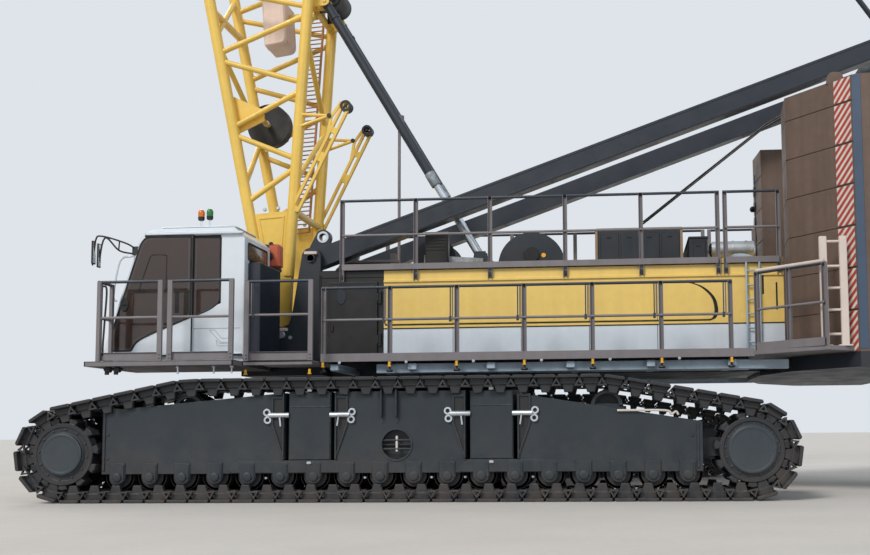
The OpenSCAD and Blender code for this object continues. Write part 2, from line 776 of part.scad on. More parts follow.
// A-frame
module a_frame_arms() {
    color(c_navy) along_a_frame() both_sides() difference() {
        union() {
            side_plate(a_arm_y - a_width / 2, a_arm_y + a_width / 2) {
                circle(a_root_r);
                translate([0, -a_below]) square([a_len, a_depth]);
                translate([a_len, 0]) circle(a_root_r + 30);
            }
            // Erection lugs above the foot pins
            side_plate(a_arm_y - 60, a_arm_y + 60) {
                along = a_lug / norm(a_lug);
                side = [-along.y, along.x];
                translate(a_lug) circle(a_lug_out);
                polygon([
                    a_root_r * side, a_lug + a_lug_out * side, a_lug - a_lug_out * side, -a_root_r * side
                ]);
            }
        }
        cross_bar([0, 0], 0, 2000, 2 * a_pin_r + 2 * seat_gap);
        cross_bar(a_lug, 0, 2000, 2 * a_lug_r);
    }
}
// Cross ties at the head, and the pin that the stays hang on
module a_frame_ties() {
    half = a_arm_y - a_width / 2;
    color(c_navy) along_a_frame() {
        for (x = [a_len - 750, a_len - 350])
            block([x - 90, -half, -170], [x + 90, half, 90]);
        cross_bar([a_len, 0], -half, half, 2 * head_pin_r);
    }
}

// Stays between the A-frame head and the boom head
stay_dir = stay_eye - a_head;
stay_len = norm(stay_dir);
stay_angle = atan2(stay_dir.y, stay_dir.x);
module stays() {
    color(c_navy) translate([a_head.x, 0, a_head.y]) rotate([0, -stay_angle, 0]) both_sides() {
        difference() {
            side_plate(stay_y - stay_t / 2, stay_y + stay_t / 2) {
                circle(150);
                translate([0, -60]) square([700, 120]);
                translate([stay_len - 700, -60]) square([700, 120]);
                translate([stay_len, 0]) circle(110);
            }
            cross_bar([0, 0], 0, 2000, 2 * head_pin_r + 2 * seat_gap);
        }
        bar([600, stay_y, 0], [stay_len - 600, stay_y, 0], stay_bar);
    }
}

// Boom
// One face of lacing between two chords, with the tube ends at each node set apart
module lacing(a, b) {
    n = len(a);
    up_a = (a[n - 1] - a[0]) / norm(a[n - 1] - a[0]) * lace_gap;
    up_b = (b[n - 1] - b[0]) / norm(b[n - 1] - b[0]) * lace_gap;
    for (i = [0:n - 2])
        if (i % 2 == 0) bar(a[i] + up_a, b[i + 1] - up_b, lace_d);
        else bar(b[i] + up_b, a[i + 1] - up_a, lace_d);
}
foot_lug_y = [640, 780];
function lace_u(i) = lace_start + i * lace_step;
function face_u(i) = between(face_start, foot_len - 110, i / 4);
module boom_foot() {
    n = floor((foot_len - 300 - lace_start) / lace_step);
    color(c_yellow) along_boom() {
        difference() {
            both_sides() intersection() {
                union() {
                    side_plate(foot_lug_y[0], foot_lug_y[1]) {
                        circle(195);
                        polygon([
                            [-185, 40], [185, 40],
                            [half_depth(lug_top) + 60, lug_top], [-half_depth(lug_top) - 60, lug_top]
                        ]);
                    }
                    for (s = [-1, 1])
                        bar([s * half_depth(lug_top - 200), chord_y, lug_top - 200],
                            [s * half_depth(foot_len + 60), chord_y, foot_len + 60], chord_d);
                    side_plate(chord_y - 15, chord_y + 15)
                        polygon([
                            [-half_depth(web_u[0]), web_u[0]], [half_depth(web_u[0]), web_u[0]],
                            [half_depth(web_u[1]), web_u[1]], [-half_depth(web_u[1]), web_u[1]]
                        ]);
                    lacing([for (i = [0:n]) [half_depth(lace_u(i)), chord_y, lace_u(i)]],
                           [for (i = [0:n]) [-half_depth(lace_u(i)), chord_y, lace_u(i)]]);
                }
                block([-3000, 0, -500], [3000, 3000, foot_len]);
            }
            cross_bar([0, 0], -2000, 2000, 2 * foot_pin_r + 2 * seat_gap);
        }
        for (s = [-1, 1]) {
            for (u = [web_u[1], backstop_u])
                bar([s * half_depth(u), -chord_y, u], [s * half_depth(u), chord_y, u], 120);
            lacing([for (i = [0:4]) [s * half_depth(face_u(i)), chord_y, face_u(i)]],
                   [for (i = [0:4]) [s * half_depth(face_u(i)), -chord_y, face_u(i)]]);
        }
        // Lugs for the back-stop tubes
        both_sides() for (s = [-1, 1])
            side_plate(backstop_y + s * lug_off - 12, backstop_y + s * lug_off + 12) {
                translate([backstop_v, backstop_u]) circle(80);
                translate([backstop_v, backstop_u - 80])
                    square([-backstop_v - half_depth(backstop_u) + 20, 160]);
            }
        both_sides()
            cross_bar([backstop_v, backstop_u], backstop_y - lug_off - 30, backstop_y + lug_off + 30, 60);
        // Brackets for the guide sheave's shaft
        both_sides() side_plate(shaft_half, shaft_half + 30)
            polygon([
                [sheave_guide.x - 110, sheave_guide.y - 90], [half_depth(3350), 3350],
                [half_depth(4030), 4030], [sheave_guide.x - 110, sheave_guide.y + 90]
            ]);
    }
}

mid_step = 750;
module boom_middle() {
    n = round(mid_len / mid_step);
    u0 = foot_len;
    color(c_yellow) along_boom() {
        both_sides() {
            for (s = [-1, 1])
                bar([s * half_full, chord_y, u0], [s * half_full, chord_y, u0 + mid_len], chord_d);
            lacing([for (i = [0:n]) [half_full, chord_y, u0 + 60 + i * (mid_len - 120) / n]],
                   [for (i = [0:n]) [-half_full, chord_y, u0 + 60 + i * (mid_len - 120) / n]]);
        }
        for (s = [-1, 1])
            lacing([for (i = [0:n - 1]) [s * half_full, chord_y, u0 + 400 + i * (mid_len - 560) / (n - 1)]],
                   [for (i = [0:n - 1]) [s * half_full, -chord_y, u0 + 400 + i * (mid_len - 560) / (n - 1)]]);
    }
}

sheave_v = 950;
sheave_u = boom_len - 100;
sheave_r = 330;
jib_bore = [620, boom_len + 130];
jib_bore_r = 50;
module boom_head() {
    u0 = foot_len + mid_len;
    n = 9;
    us = [for (i = [0:n]) u0 + 60 + i * (head_len - 400) / n];
    color(c_yellow) along_boom() {
        both_sides() intersection() {
            union() for (s = [-1, 1])
                bar([s * head_v(u0 - 60), head_w(u0 - 60), u0 - 60],
                    [s * head_half, head_y, boom_len], chord_d);
            block([-3000, 0, u0 + seat_gap], [3000, 3000, boom_len + 500]);
        }
        both_sides() {
            lacing([for (u = us) [head_v(u), head_w(u), u]], [for (u = us) [-head_v(u), head_w(u), u]]);
        }
        for (s = [-1, 1])
            lacing([for (u = us) [s * head_v(u), head_w(u), u]], [for (u = us) [s * head_v(u), -head_w(u), u]]);
        both_sides() difference() {
            side_plate(head_y - 20, head_y + 20)
                polygon([
                    [-660, boom_len - 160], [-head_half - 60, boom_len - 500], [head_half + 60, boom_len - 500],
                    [sheave_v + 170, sheave_u - 160], [sheave_v + 170, sheave_u + 140],
                    [jib_bore.x + 60, boom_len + 270], [0, boom_len + 270], [-660, boom_len + 160]
                ]);
            cross_bar(jib_bore, 0, 2000, 2 * jib_bore_r);
        }
        cross_bar([sheave_v, sheave_u], -head_y, head_y, 120);
    }
}
module sheave_row(n, r, w) {
    for (i = [0:n - 1]) translate([0, (i - (n - 1) / 2) * (w + 20), 0]) rotate([90, 0, 0])
        difference() {
            union() {
                cylinder(h = w, r = r, center = true);
                cylinder(h = w + 20, r = 100, center = true);
            }
            rotate_extrude() translate([r, 0]) circle(r = w * 0.32);
        }
}
module head_sheaves() {
    color(c_dark) along_boom() difference() {
        translate([sheave_v, 0, sheave_u]) sheave_row(5, sheave_r, 90);
        cross_bar([sheave_v, sheave_u], -2000, 2000, 120 + 2 * seat_gap);
    }
}

sheave_pos = boom_point(sheave_u, sheave_v);
hook_z = sheave_pos.y - hook_drop;
fall_d = 28;
module hook_block() {
    translate([sheave_pos.x, 0, hook_z]) {
        color(c_yellow) {
            both_sides() side_plate(270, 300) {
                circle(sheave_r + 40);
                translate([-200, -560]) square([400, 560]);
            }
            block([-200, -300, -620], [200, 300, -460]);
        }
        color(c_dark) {
            cross_bar([0, 0], -300, 300, 120);
            for (i = [-2:2]) cross_bar([0, 0], i * 110 - 45, i * 110 + 45, 2 * sheave_r);
        }
        color(c_black) for (i = [-2:2], s = [-1, 1])
            translate([s * (sheave_r + fall_d / 2 - 6), i * 110, 0]) cylinder(h = hook_drop - 300, d = fall_d);
    }
}
hook_open_r = 150;
hook_bar_r = 75;
module hook() {
    color(c_dark) translate([sheave_pos.x, 0, hook_z - 620 - bearing_gap]) {
        translate([0, 0, -330]) cylinder(h = 330, d = 120);
        translate([0, 0, -330 - hook_open_r]) rotate([90, 0, 0])
            rotate([0, 0, 90]) rotate_extrude(angle = -250)
                translate([hook_open_r + hook_bar_r, 0]) circle(r = hook_bar_r);
    }
}

module guide_sheave() {
    color(c_black) along_boom() difference() {
        cross_bar(sheave_guide, -90, 90, 720);
        cross_bar(sheave_guide, -200, 200, 80 + 2 * seat_gap);
    }
}
module boom_fittings() {
    cross_v = -half_depth(backstop_u) + 60 + seat_gap;
    color(c_yellow) along_boom() {
        cross_bar(sheave_guide, -shaft_half, shaft_half, 80);
        // Carrier of the tank, seated on the rear cross tube
        block([cross_v, -60, backstop_u - 45], [tank_v[0], 60, backstop_u + 45]);
    }
}
tank_v = [-290, 300];
tank_u = [4860, 5700];
tank_half = 300;
module boom_tank() {
    color(c_white) along_boom() block([tank_v[0], -tank_half, tank_u[0]], [tank_v[1], tank_half, tank_u[1]]);
}
reel_pos = [-1090, 5624];
reel_r = 205;
// Reel and its side plates, behind the rear cross tube
module boom_reel() {
    seat_v = -half_depth(backstop_u) - 60 - seat_gap;
    color(c_black) along_boom() {
        cross_bar(reel_pos, -230, 230, 2 * reel_r);
        both_sides() side_plate(230, 250) {
            translate(reel_pos) circle(120);
            translate([reel_pos.x, backstop_u - 60]) square([seat_v - reel_pos.x, 165]);
        }
    }
}
guide_y = [740, 800];
guide_foot = [-400, 1990];
guide_end = [-1330, 3600];
guide_link = [[-575, 3540], [-1090, 3480]];
// Arms behind the boom with rollers for the ropes
module rope_guides() {
    dir = (guide_end - guide_foot) / norm(guide_end - guide_foot);
    side = [dir.y, -dir.x] * 70;
    color(c_yellow) along_boom() both_sides() {
        difference() {
            union() {
                side_plate(guide_y[0], guide_y[1]) {
                    polygon([guide_foot - side, guide_foot + side, guide_end + side, guide_end - side]);
                    translate(guide_end) circle(110);
                }
                bar([guide_link[0].x, guide_y[0] + 30, guide_link[0].y],
                    [guide_link[1].x, guide_y[0] + 30, guide_link[1].y], 50);
            }
            for (u = [web_u[1] - 200, 3800])
                bar([-half_depth(web_u[1] - 200), chord_y, web_u[1] - 200], [-half_depth(3800), chord_y, 3800],
                    chord_d + 2 * seat_gap);
        }
        cross_bar(guide_end, guide_y[0] - 130, guide_y[1] + 20, 180);
    }
}

// Back-stops
backstop_dir = backstop_foot - backstop_top;
backstop_len = norm(backstop_dir);
backstop_angle = atan2(backstop_dir.y, backstop_dir.x);
module along_backstop() {
    translate([backstop_top.x, backstop_y, backstop_top.y]) rotate([0, 90 - backstop_angle, 0]) children();
}
module backstop_tube() {
    color(c_navy) along_backstop() difference() {
        union() {
            rotate([90, 0, 0]) cylinder(h = backstop_tube_d, d = 150, center = true);
            cylinder(h = backstop_tube_len, d = backstop_tube_d);
        }
        rotate([90, 0, 0]) cylinder(h = 200, d = 60 + 2 * seat_gap, center = true);
        translate([0, 0, 110]) cylinder(h = backstop_tube_len, d = backstop_rod_d + 2 * seat_gap);
    }
}
module backstop_rod() {
    color(c_steel) along_backstop() {
        translate([0, 0, 130]) cylinder(h = backstop_len - 130, d = backstop_rod_d);
        translate([0, 0, backstop_len]) rotate([90, 0, 0]) cylinder(h = backstop_tube_d, d = 150, center = true);
    }
}
module backstop_tube_left() { backstop_tube(); }
module backstop_tube_right() { mirror([0, 1, 0]) backstop_tube(); }
module backstop_rod_left() { backstop_rod(); }
module backstop_rod_right() { mirror([0, 1, 0]) backstop_rod(); }

carbody();
slew_ring();
track_frame_left();
track_frame_right();
track_left();
track_right();
track_rollers();
drive_tumblers();
idlers();
platform();
walkways();
walkway_rails();
house_lower();
house_upper();
house_front();
house_door();
engine();
deck_rails();
deck_gear();
winch_stands();
exhaust();
cab_platform();
cab();
cab_glass();
cab_seat();
cab_door();
cab_door_glass();
cab_post();
hoist_winch();
luffing_winch();
counterweight_base();
counterweight_left();
counterweight_right();
rear_access();
lamp_pole();
a_frame_arms();
a_frame_ties();
stays();
boom_foot();
boom_middle();
boom_head();
boom_fittings();
boom_tank();
boom_reel();
rope_guides();
guide_sheave();
head_sheaves();
hook_block();
hook();
backstop_tube_left();
backstop_tube_right();
backstop_rod_left();
backstop_rod_right();
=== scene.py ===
"""Looks of a crawler crane with a lattice boom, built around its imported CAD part.

Metres throughout: +X is the front, +Y the crane's left (cab) side, +Z up, the origin on the ground under
the slewing axis. A shape is a triple (points, corners, sizes): an array of points, the corner indices of all
faces in a row, and how many corners each face has.
"""

import json
import math

import bpy
import numpy as np
from mathutils import Matrix, Vector

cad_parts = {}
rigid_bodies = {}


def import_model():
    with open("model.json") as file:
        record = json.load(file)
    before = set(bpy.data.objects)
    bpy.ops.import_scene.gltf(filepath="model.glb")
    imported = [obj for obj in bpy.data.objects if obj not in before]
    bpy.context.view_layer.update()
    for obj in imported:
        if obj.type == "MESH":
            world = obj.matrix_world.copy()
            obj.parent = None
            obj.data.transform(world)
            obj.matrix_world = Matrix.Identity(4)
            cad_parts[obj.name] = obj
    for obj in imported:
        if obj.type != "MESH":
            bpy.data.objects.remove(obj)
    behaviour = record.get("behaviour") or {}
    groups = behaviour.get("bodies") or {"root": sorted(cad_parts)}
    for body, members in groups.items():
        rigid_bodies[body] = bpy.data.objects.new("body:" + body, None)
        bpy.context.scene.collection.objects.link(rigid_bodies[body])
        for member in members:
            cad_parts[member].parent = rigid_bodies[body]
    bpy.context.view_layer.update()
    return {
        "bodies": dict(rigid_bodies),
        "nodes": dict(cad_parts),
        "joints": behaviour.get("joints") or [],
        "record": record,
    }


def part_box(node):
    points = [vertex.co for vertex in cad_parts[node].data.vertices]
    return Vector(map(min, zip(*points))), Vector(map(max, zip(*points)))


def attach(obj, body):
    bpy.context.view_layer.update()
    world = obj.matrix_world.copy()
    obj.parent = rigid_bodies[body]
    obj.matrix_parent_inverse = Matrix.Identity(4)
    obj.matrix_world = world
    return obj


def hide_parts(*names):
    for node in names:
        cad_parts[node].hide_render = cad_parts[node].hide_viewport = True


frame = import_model()
Y_AXIS = np.array([0.0, 1.0, 0.0])
Z_AXIS = np.array([0.0, 0.0, 1.0])


# Shapes


def joined(*shapes):
    """Several shapes as one: their points one after another, their corner indices shifted to match."""
    starts = np.cumsum([0] + [len(s[0]) for s in shapes])
    return (
        np.concatenate([s[0] for s in shapes]),
        np.concatenate([s[1] + k for s, k in zip(shapes, starts)]),
        np.concatenate([s[2] for s in shapes]),
    )


def turned_over(shape):
    """The same faces with their corners in reverse order, so that they face the other way."""
    points, corners, sizes = shape
    ends = np.cumsum(sizes)
    face = np.repeat(np.arange(len(sizes)), sizes)
    order = (ends[face] - 1) - (np.arange(len(corners)) - (ends - sizes)[face])
    return points, corners[order], sizes


def outward(shape):
    """Turns the faces over if the volume they enclose, a sum of signed tetrahedra, comes out negative."""
    points, corners, sizes = shape
    starts = np.cumsum(sizes) - sizes
    face = np.repeat(np.arange(len(sizes)), sizes)
    place = np.arange(len(corners)) - starts[face]
    inner = (place > 0) & (place < sizes[face] - 1)
    a = points[corners[starts[face[inner]]]]
    b = points[corners[np.nonzero(inner)[0]]]
    c = points[corners[np.nonzero(inner)[0] + 1]]
    volume = np.einsum("ij,ij->i", a, np.cross(b, c)).sum()
    return turned_over(shape) if volume < 0 else shape


def skin(rings, closed=False):
    """Skins through rings of points, an array (bodies, rings, points, 3) or one body less that index.
    Quads join each ring to the next; the end rings are closed with a face, unless the last joins the
    first."""
    rings = np.asarray(rings, float)
    if rings.ndim == 3:
        rings = rings[None]
    bodies, n, m = rings.shape[:3]
    i, j = np.meshgrid(np.arange(n if closed else n - 1), np.arange(m), indexing="ij")
    i2, j2 = (i + 1) % n, (j + 1) % m
    quads = np.stack([i * m + j, i * m + j2, i2 * m + j2, i2 * m + j], -1).reshape(-1)
    sizes = np.full(len(quads) // 4, 4)
    if not closed:
        quads = np.concatenate([quads, np.arange(m)[::-1], (n - 1) * m + np.arange(m)])
        sizes = np.append(sizes, [m, m])
    shift = np.arange(bodies)[:, None] * n * m
    return outward((rings.reshape(-1, 3), (quads[None] + shift).ravel(), np.tile(sizes, bodies)))


def unit(v):
    return v / np.maximum(np.linalg.norm(v, axis=-1, keepdims=True), 1e-12)


def across(direction):
    """Two unit vectors square to each direction: its cross product with Z, or with X where it is steep,
    and the cross product of the direction with that."""
    d = unit(np.asarray(direction, float))
    steep = np.abs(d[..., 2:3]) > 0.95
    u = unit(np.cross(d, np.where(steep, [1.0, 0.0, 0.0], [0.0, 0.0, 1.0])))
    return u, np.cross(d, u)


def circle(sides, turn=0.0):
    a = np.arange(sides) * 2 * math.pi / sides + turn
    return np.stack([np.cos(a), np.sin(a)], -1)


def bars(a, b, r, sides=10):
    """Round bars from points a to points b: a circle of radius r, square to the bar, at either end."""
    a, b = np.atleast_2d(np.asarray(a, float)), np.atleast_2d(np.asarray(b, float))
    a, b = np.broadcast_arrays(a, b)
    u, v = across(b - a)
    c = circle(sides, math.pi / sides)
    r = np.broadcast_to(np.asarray(r, float), (len(a),))[:, None, None]
    ring = r * (c[None, :, :1] * u[:, None] + c[None, :, 1:] * v[:, None])
    return skin(np.stack([a[:, None] + ring, b[:, None] + ring], 1))


def turned(profile, at=(0, 0, 0), axis=(0, 1, 0), sides=32):
    """A body of revolution: circles of radius r at distance h along the axis, for each (h, r) of the profile.
    A profile that ends where it starts is a ring; another is closed by its end circles."""
    profile = np.asarray(profile, float)
    u, v = across(np.asarray(axis, float))
    c = circle(sides, math.pi / sides)
    ring = c[:, :1] * u + c[:, 1:] * v
    whole = np.allclose(profile[0], profile[-1])
    if whole:
        profile = profile[:-1]
    rings = np.asarray(at, float) + profile[:, :1, None] * unit(
        np.asarray(axis, float)
    ) + profile[:, 1:, None] * ring
    return skin(rings, closed=whole)


def disc(at, axis, r, thick, bevel=0.004, sides=32):
    """A flat round plate, its centre plane at the point, with bevelled rims."""
    h = thick / 2
    bevel = min(bevel, h * 0.8, r * 0.4)
    return turned([(-h, r - bevel), (-h + bevel, r), (h - bevel, r), (h, r - bevel)], at, axis, sides)


def boxes(low, high, bevel=0.006):
    """Blocks between corner points, their edges cut back: four rings of eight points, the outer two drawn
    in."""
    low, high = np.atleast_2d(np.asarray(low, float)), np.atleast_2d(np.asarray(high, float))
    low, high = np.broadcast_arrays(low, high)
    low, high = np.minimum(low, high), np.maximum(low, high)
    mid, half = (low + high) / 2, (high - low) / 2
    b = np.minimum(bevel, half.min(1) * 0.45)[:, None]
    sign = np.array([[1, -1], [1, 1], [1, 1], [-1, 1], [-1, 1], [-1, -1], [-1, -1], [1, -1]], float)
    cut = np.array([[0, 1], [0, 1], [1, 0], [1, 0], [0, 1], [0, 1], [1, 0], [1, 0]], float)
    rings = []
    for level, inset in ((-1, 1), (-1, 0), (1, 0), (1, 1)):
        flat = half[:, None, :2] - b[:, None] * (cut[None] + inset)
        x_y = mid[:, None, :2] + sign[None] * flat
        z = mid[:, 2] + level * (half[:, 2] - (0 if inset else 1) * b[:, 0])
        rings.append(np.concatenate([x_y, np.broadcast_to(z[:, None, None], x_y.shape[:2] + (1,))], -1))
    return skin(np.stack(rings, 1))


def box_at(centre, size, bevel=0.006):
    centre, size = np.asarray(centre, float), np.asarray(size, float)
    return boxes(centre - size / 2, centre + size / 2, bevel)


def inset_outline(outline, by):
    """A closed outline drawn in by a distance: each corner moves along the sum of its two edges' normals."""
    p = np.asarray(outline, float)
    before, after = unit(p - np.roll(p, 1, 0)), unit(np.roll(p, -1, 0) - p)
    n1, n2 = np.stack([-before[:, 1], before[:, 0]], -1), np.stack([-after[:, 1], after[:, 0]], -1)
    area = (p[:, 0] * np.roll(p[:, 1], -1) - np.roll(p[:, 0], -1) * p[:, 1]).sum()
    step = (n1 + n2) / np.maximum(1 + (n1 * n2).sum(1, keepdims=True), 0.35)
    return p + step * by * (1 if area > 0 else -1)


def plate(outline, start, end, along="y", bevel=0.004):
    """A plate with that outline from start to end along an axis, both faces' rims drawn in by the bevel."""
    full = np.asarray(outline, float)
    drawn = inset_outline(full, bevel)
    order = {"y": (0, 2, 1), "z": (0, 1, 2), "x": (2, 0, 1)}[along]
    step = bevel if end > start else -bevel
    rings = []
    for flat, h in ((drawn, start), (full, start + step), (full, end - step), (drawn, end)):
        ring = np.column_stack([flat, np.full(len(flat), h)])
        rings.append(ring[:, order])
    return skin(np.array(rings))


def rounded(outline, radius, steps=4):
    """A closed outline with each corner replaced by points of a quadratic curve that starts and ends radius
    away."""
    p = np.asarray(outline, float)
    r = np.broadcast_to(np.asarray(radius, float), (len(p),))[:, None]
    before, after = np.roll(p, 1, 0), np.roll(p, -1, 0)
    a = p + unit(before - p) * np.minimum(r, np.linalg.norm(before - p, axis=1, keepdims=True) * 0.48)
    b = p + unit(after - p) * np.minimum(r, np.linalg.norm(after - p, axis=1, keepdims=True) * 0.48)
    t = np.linspace(0, 1, steps + 1)[None, :, None]
    return ((1 - t) ** 2 * a[:, None] + 2 * t * (1 - t) * p[:, None] + t**2 * b[:, None]).reshape(-1, 2)


def frame_plate(outer, inner, start, end, along="y"):
    """A flat ring between two outlines with as many points each, from start to end along an axis."""
    outer, inner = np.asarray(outer, float), np.asarray(inner, float)
    order = {"y": (0, 2, 1), "z": (0, 1, 2), "x": (2, 0, 1)}[along]
    rings = [
        np.column_stack([flat, np.full(len(flat), h)])[:, order]
        for flat, h in ((outer, start), (outer, end), (inner, end), (inner, start))
    ]
    return skin(np.array(rings), closed=True)


def smooth_path(points, steps=6):
    """A curve through the points: cubic pieces whose slope at a point is half the step between its
    neighbours."""
    p = np.asarray(points, float)
    q = np.vstack([2 * p[0] - p[1], p, 2 * p[-1] - p[-2]])
    t = np.linspace(0, 1, steps, endpoint=False)[None, :, None]
    p0, p1, p2, p3 = (q[k : len(p) - 1 + k][:, None] for k in range(4))
    out = 0.5 * (
        2 * p1 + (p2 - p0) * t + (2 * p0 - 5 * p1 + 4 * p2 - p3) * t**2 + (3 * p1 - p0 - 3 * p2 + p3) * t**3
    )
    return np.vstack([out.reshape(-1, 3), p[-1]])


def pipe(path, r, sides=8, lobes=0, lay=0.0):
    """A circle of radius r carried along a path. Its frame is the path's own plane where it has one.
    A rope's circle has lobes, r(1 + 0.1 cos(lobes (angle - lay s))), s being the length along the path."""
    p = np.asarray(path, float)
    t = unit(np.gradient(p, axis=0))
    middle = p - p.mean(0)
    flat = np.linalg.svd(middle, full_matrices=False)[2][2] if len(p) > 2 else across(t[0])[0]
    if np.abs(t @ flat).max() > 0.9:
        flat = across(t[0])[0]
    u = unit(np.cross(t, flat))
    v = np.cross(t, u)
    s = np.concatenate([[0], np.cumsum(np.linalg.norm(np.diff(p, axis=0), axis=1))])
    a = np.arange(sides) * 2 * math.pi / sides
    swell = 1 + (0.1 * np.cos(lobes * (a[None] - lay * s[:, None])) if lobes else np.zeros((1, 1)))
    r = np.broadcast_to(np.asarray(r, float), (len(p),))[:, None, None]
    ring = r * swell[..., None] * (
        np.cos(a)[None, :, None] * u[:, None] + np.sin(a)[None, :, None] * v[:, None]
    )
    return skin(p[:, None] + ring)


def repeated(shape, places):
    """Copies of a shape at each place: a shift (3), or a 4 by 4 matrix."""
    points, corners, sizes = shape
    places = np.asarray(places, float)
    if places.ndim == 2:
        moved = points[None] + places[:, None]
    else:
        moved = np.einsum("kij,nj->kni", places[:, :3, :3], points) + places[:, None, :3, 3]
    shift = np.arange(len(places))[:, None] * len(points)
    return moved.reshape(-1, 3), (corners[None] + shift).ravel(), np.tile(sizes, len(places))


def mirrored(shape):
    return turned_over((shape[0] * [1, -1, 1], shape[1], shape[2]))


def both(shape):
    """A shape and its mirror image across the middle plane Y = 0."""
    return joined(shape, mirrored(shape))


def moved(shape, matrix):
    points = shape[0] @ np.asarray(matrix, float)[:3, :3].T + np.asarray(matrix, float)[:3, 3]
    return points, shape[1], shape[2]


def frames(at, x, y, z):
    """Matrices whose columns are three directions and a place, one for each place."""
    at = np.atleast_2d(at)
    out = np.zeros((len(at), 4, 4))
    for k, axis in enumerate((x, y, z)):
        out[:, :3, k] = np.broadcast_to(axis, at.shape)
    out[:, :3, 3] = at
    out[:, 3, 3] = 1
    return out


def bolts(at, axis, r=0.018, head=0.016):
    """Hexagon heads with a washer, on points of a face that looks along the axis."""
    one = joined(
        turned([(0, r * 1.5), (0.005, r * 1.5)], axis=(0, 0, 1), sides=12),
        turned([(0.004, r), (head * 0.8, r), (head, r * 0.82)], axis=(0, 0, 1), sides=6),
    )
    z = unit(np.asarray(axis, float))
    u = across(z)[0]
    return repeated(one, frames(at, u, np.cross(z, u), z))


def put(name, shape, finish, body, stands_for=(), crease=32):
    """Makes a mesh object of a shape, gives it its finish, and lets it ride on a body."""
    points, corners, sizes = shape
    mesh = bpy.data.meshes.new(name)
    mesh.vertices.add(len(points))
    mesh.vertices.foreach_set("co", np.asarray(points, np.float32).ravel())
    mesh.loops.add(len(corners))
    mesh.loops.foreach_set("vertex_index", corners.astype(np.int32))
    mesh.polygons.add(len(sizes))
    mesh.polygons.foreach_set("loop_start", (np.cumsum(sizes) - sizes).astype(np.int32))
    mesh.polygons.foreach_set("use_smooth", np.ones(len(sizes), bool))
    mesh.update(calc_edges=True)
    mesh.validate()
    mesh.set_sharp_from_angle(angle=math.radians(crease))
    mesh.materials.append(finish)
    piece = bpy.data.objects.new(name, mesh)
    bpy.context.scene.collection.objects.link(piece)
    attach(piece, body)
    if stands_for:
        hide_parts(*stands_for)
    return piece


# Finishes


def linear(*srgb):
    """A colour written in screen values from 0 to 255, as linear light."""
    c = np.array(srgb, float) / 255
    return (*np.where(c <= 0.04045, c / 12.92, ((c + 0.055) / 1.055) ** 2.4), 1.0)


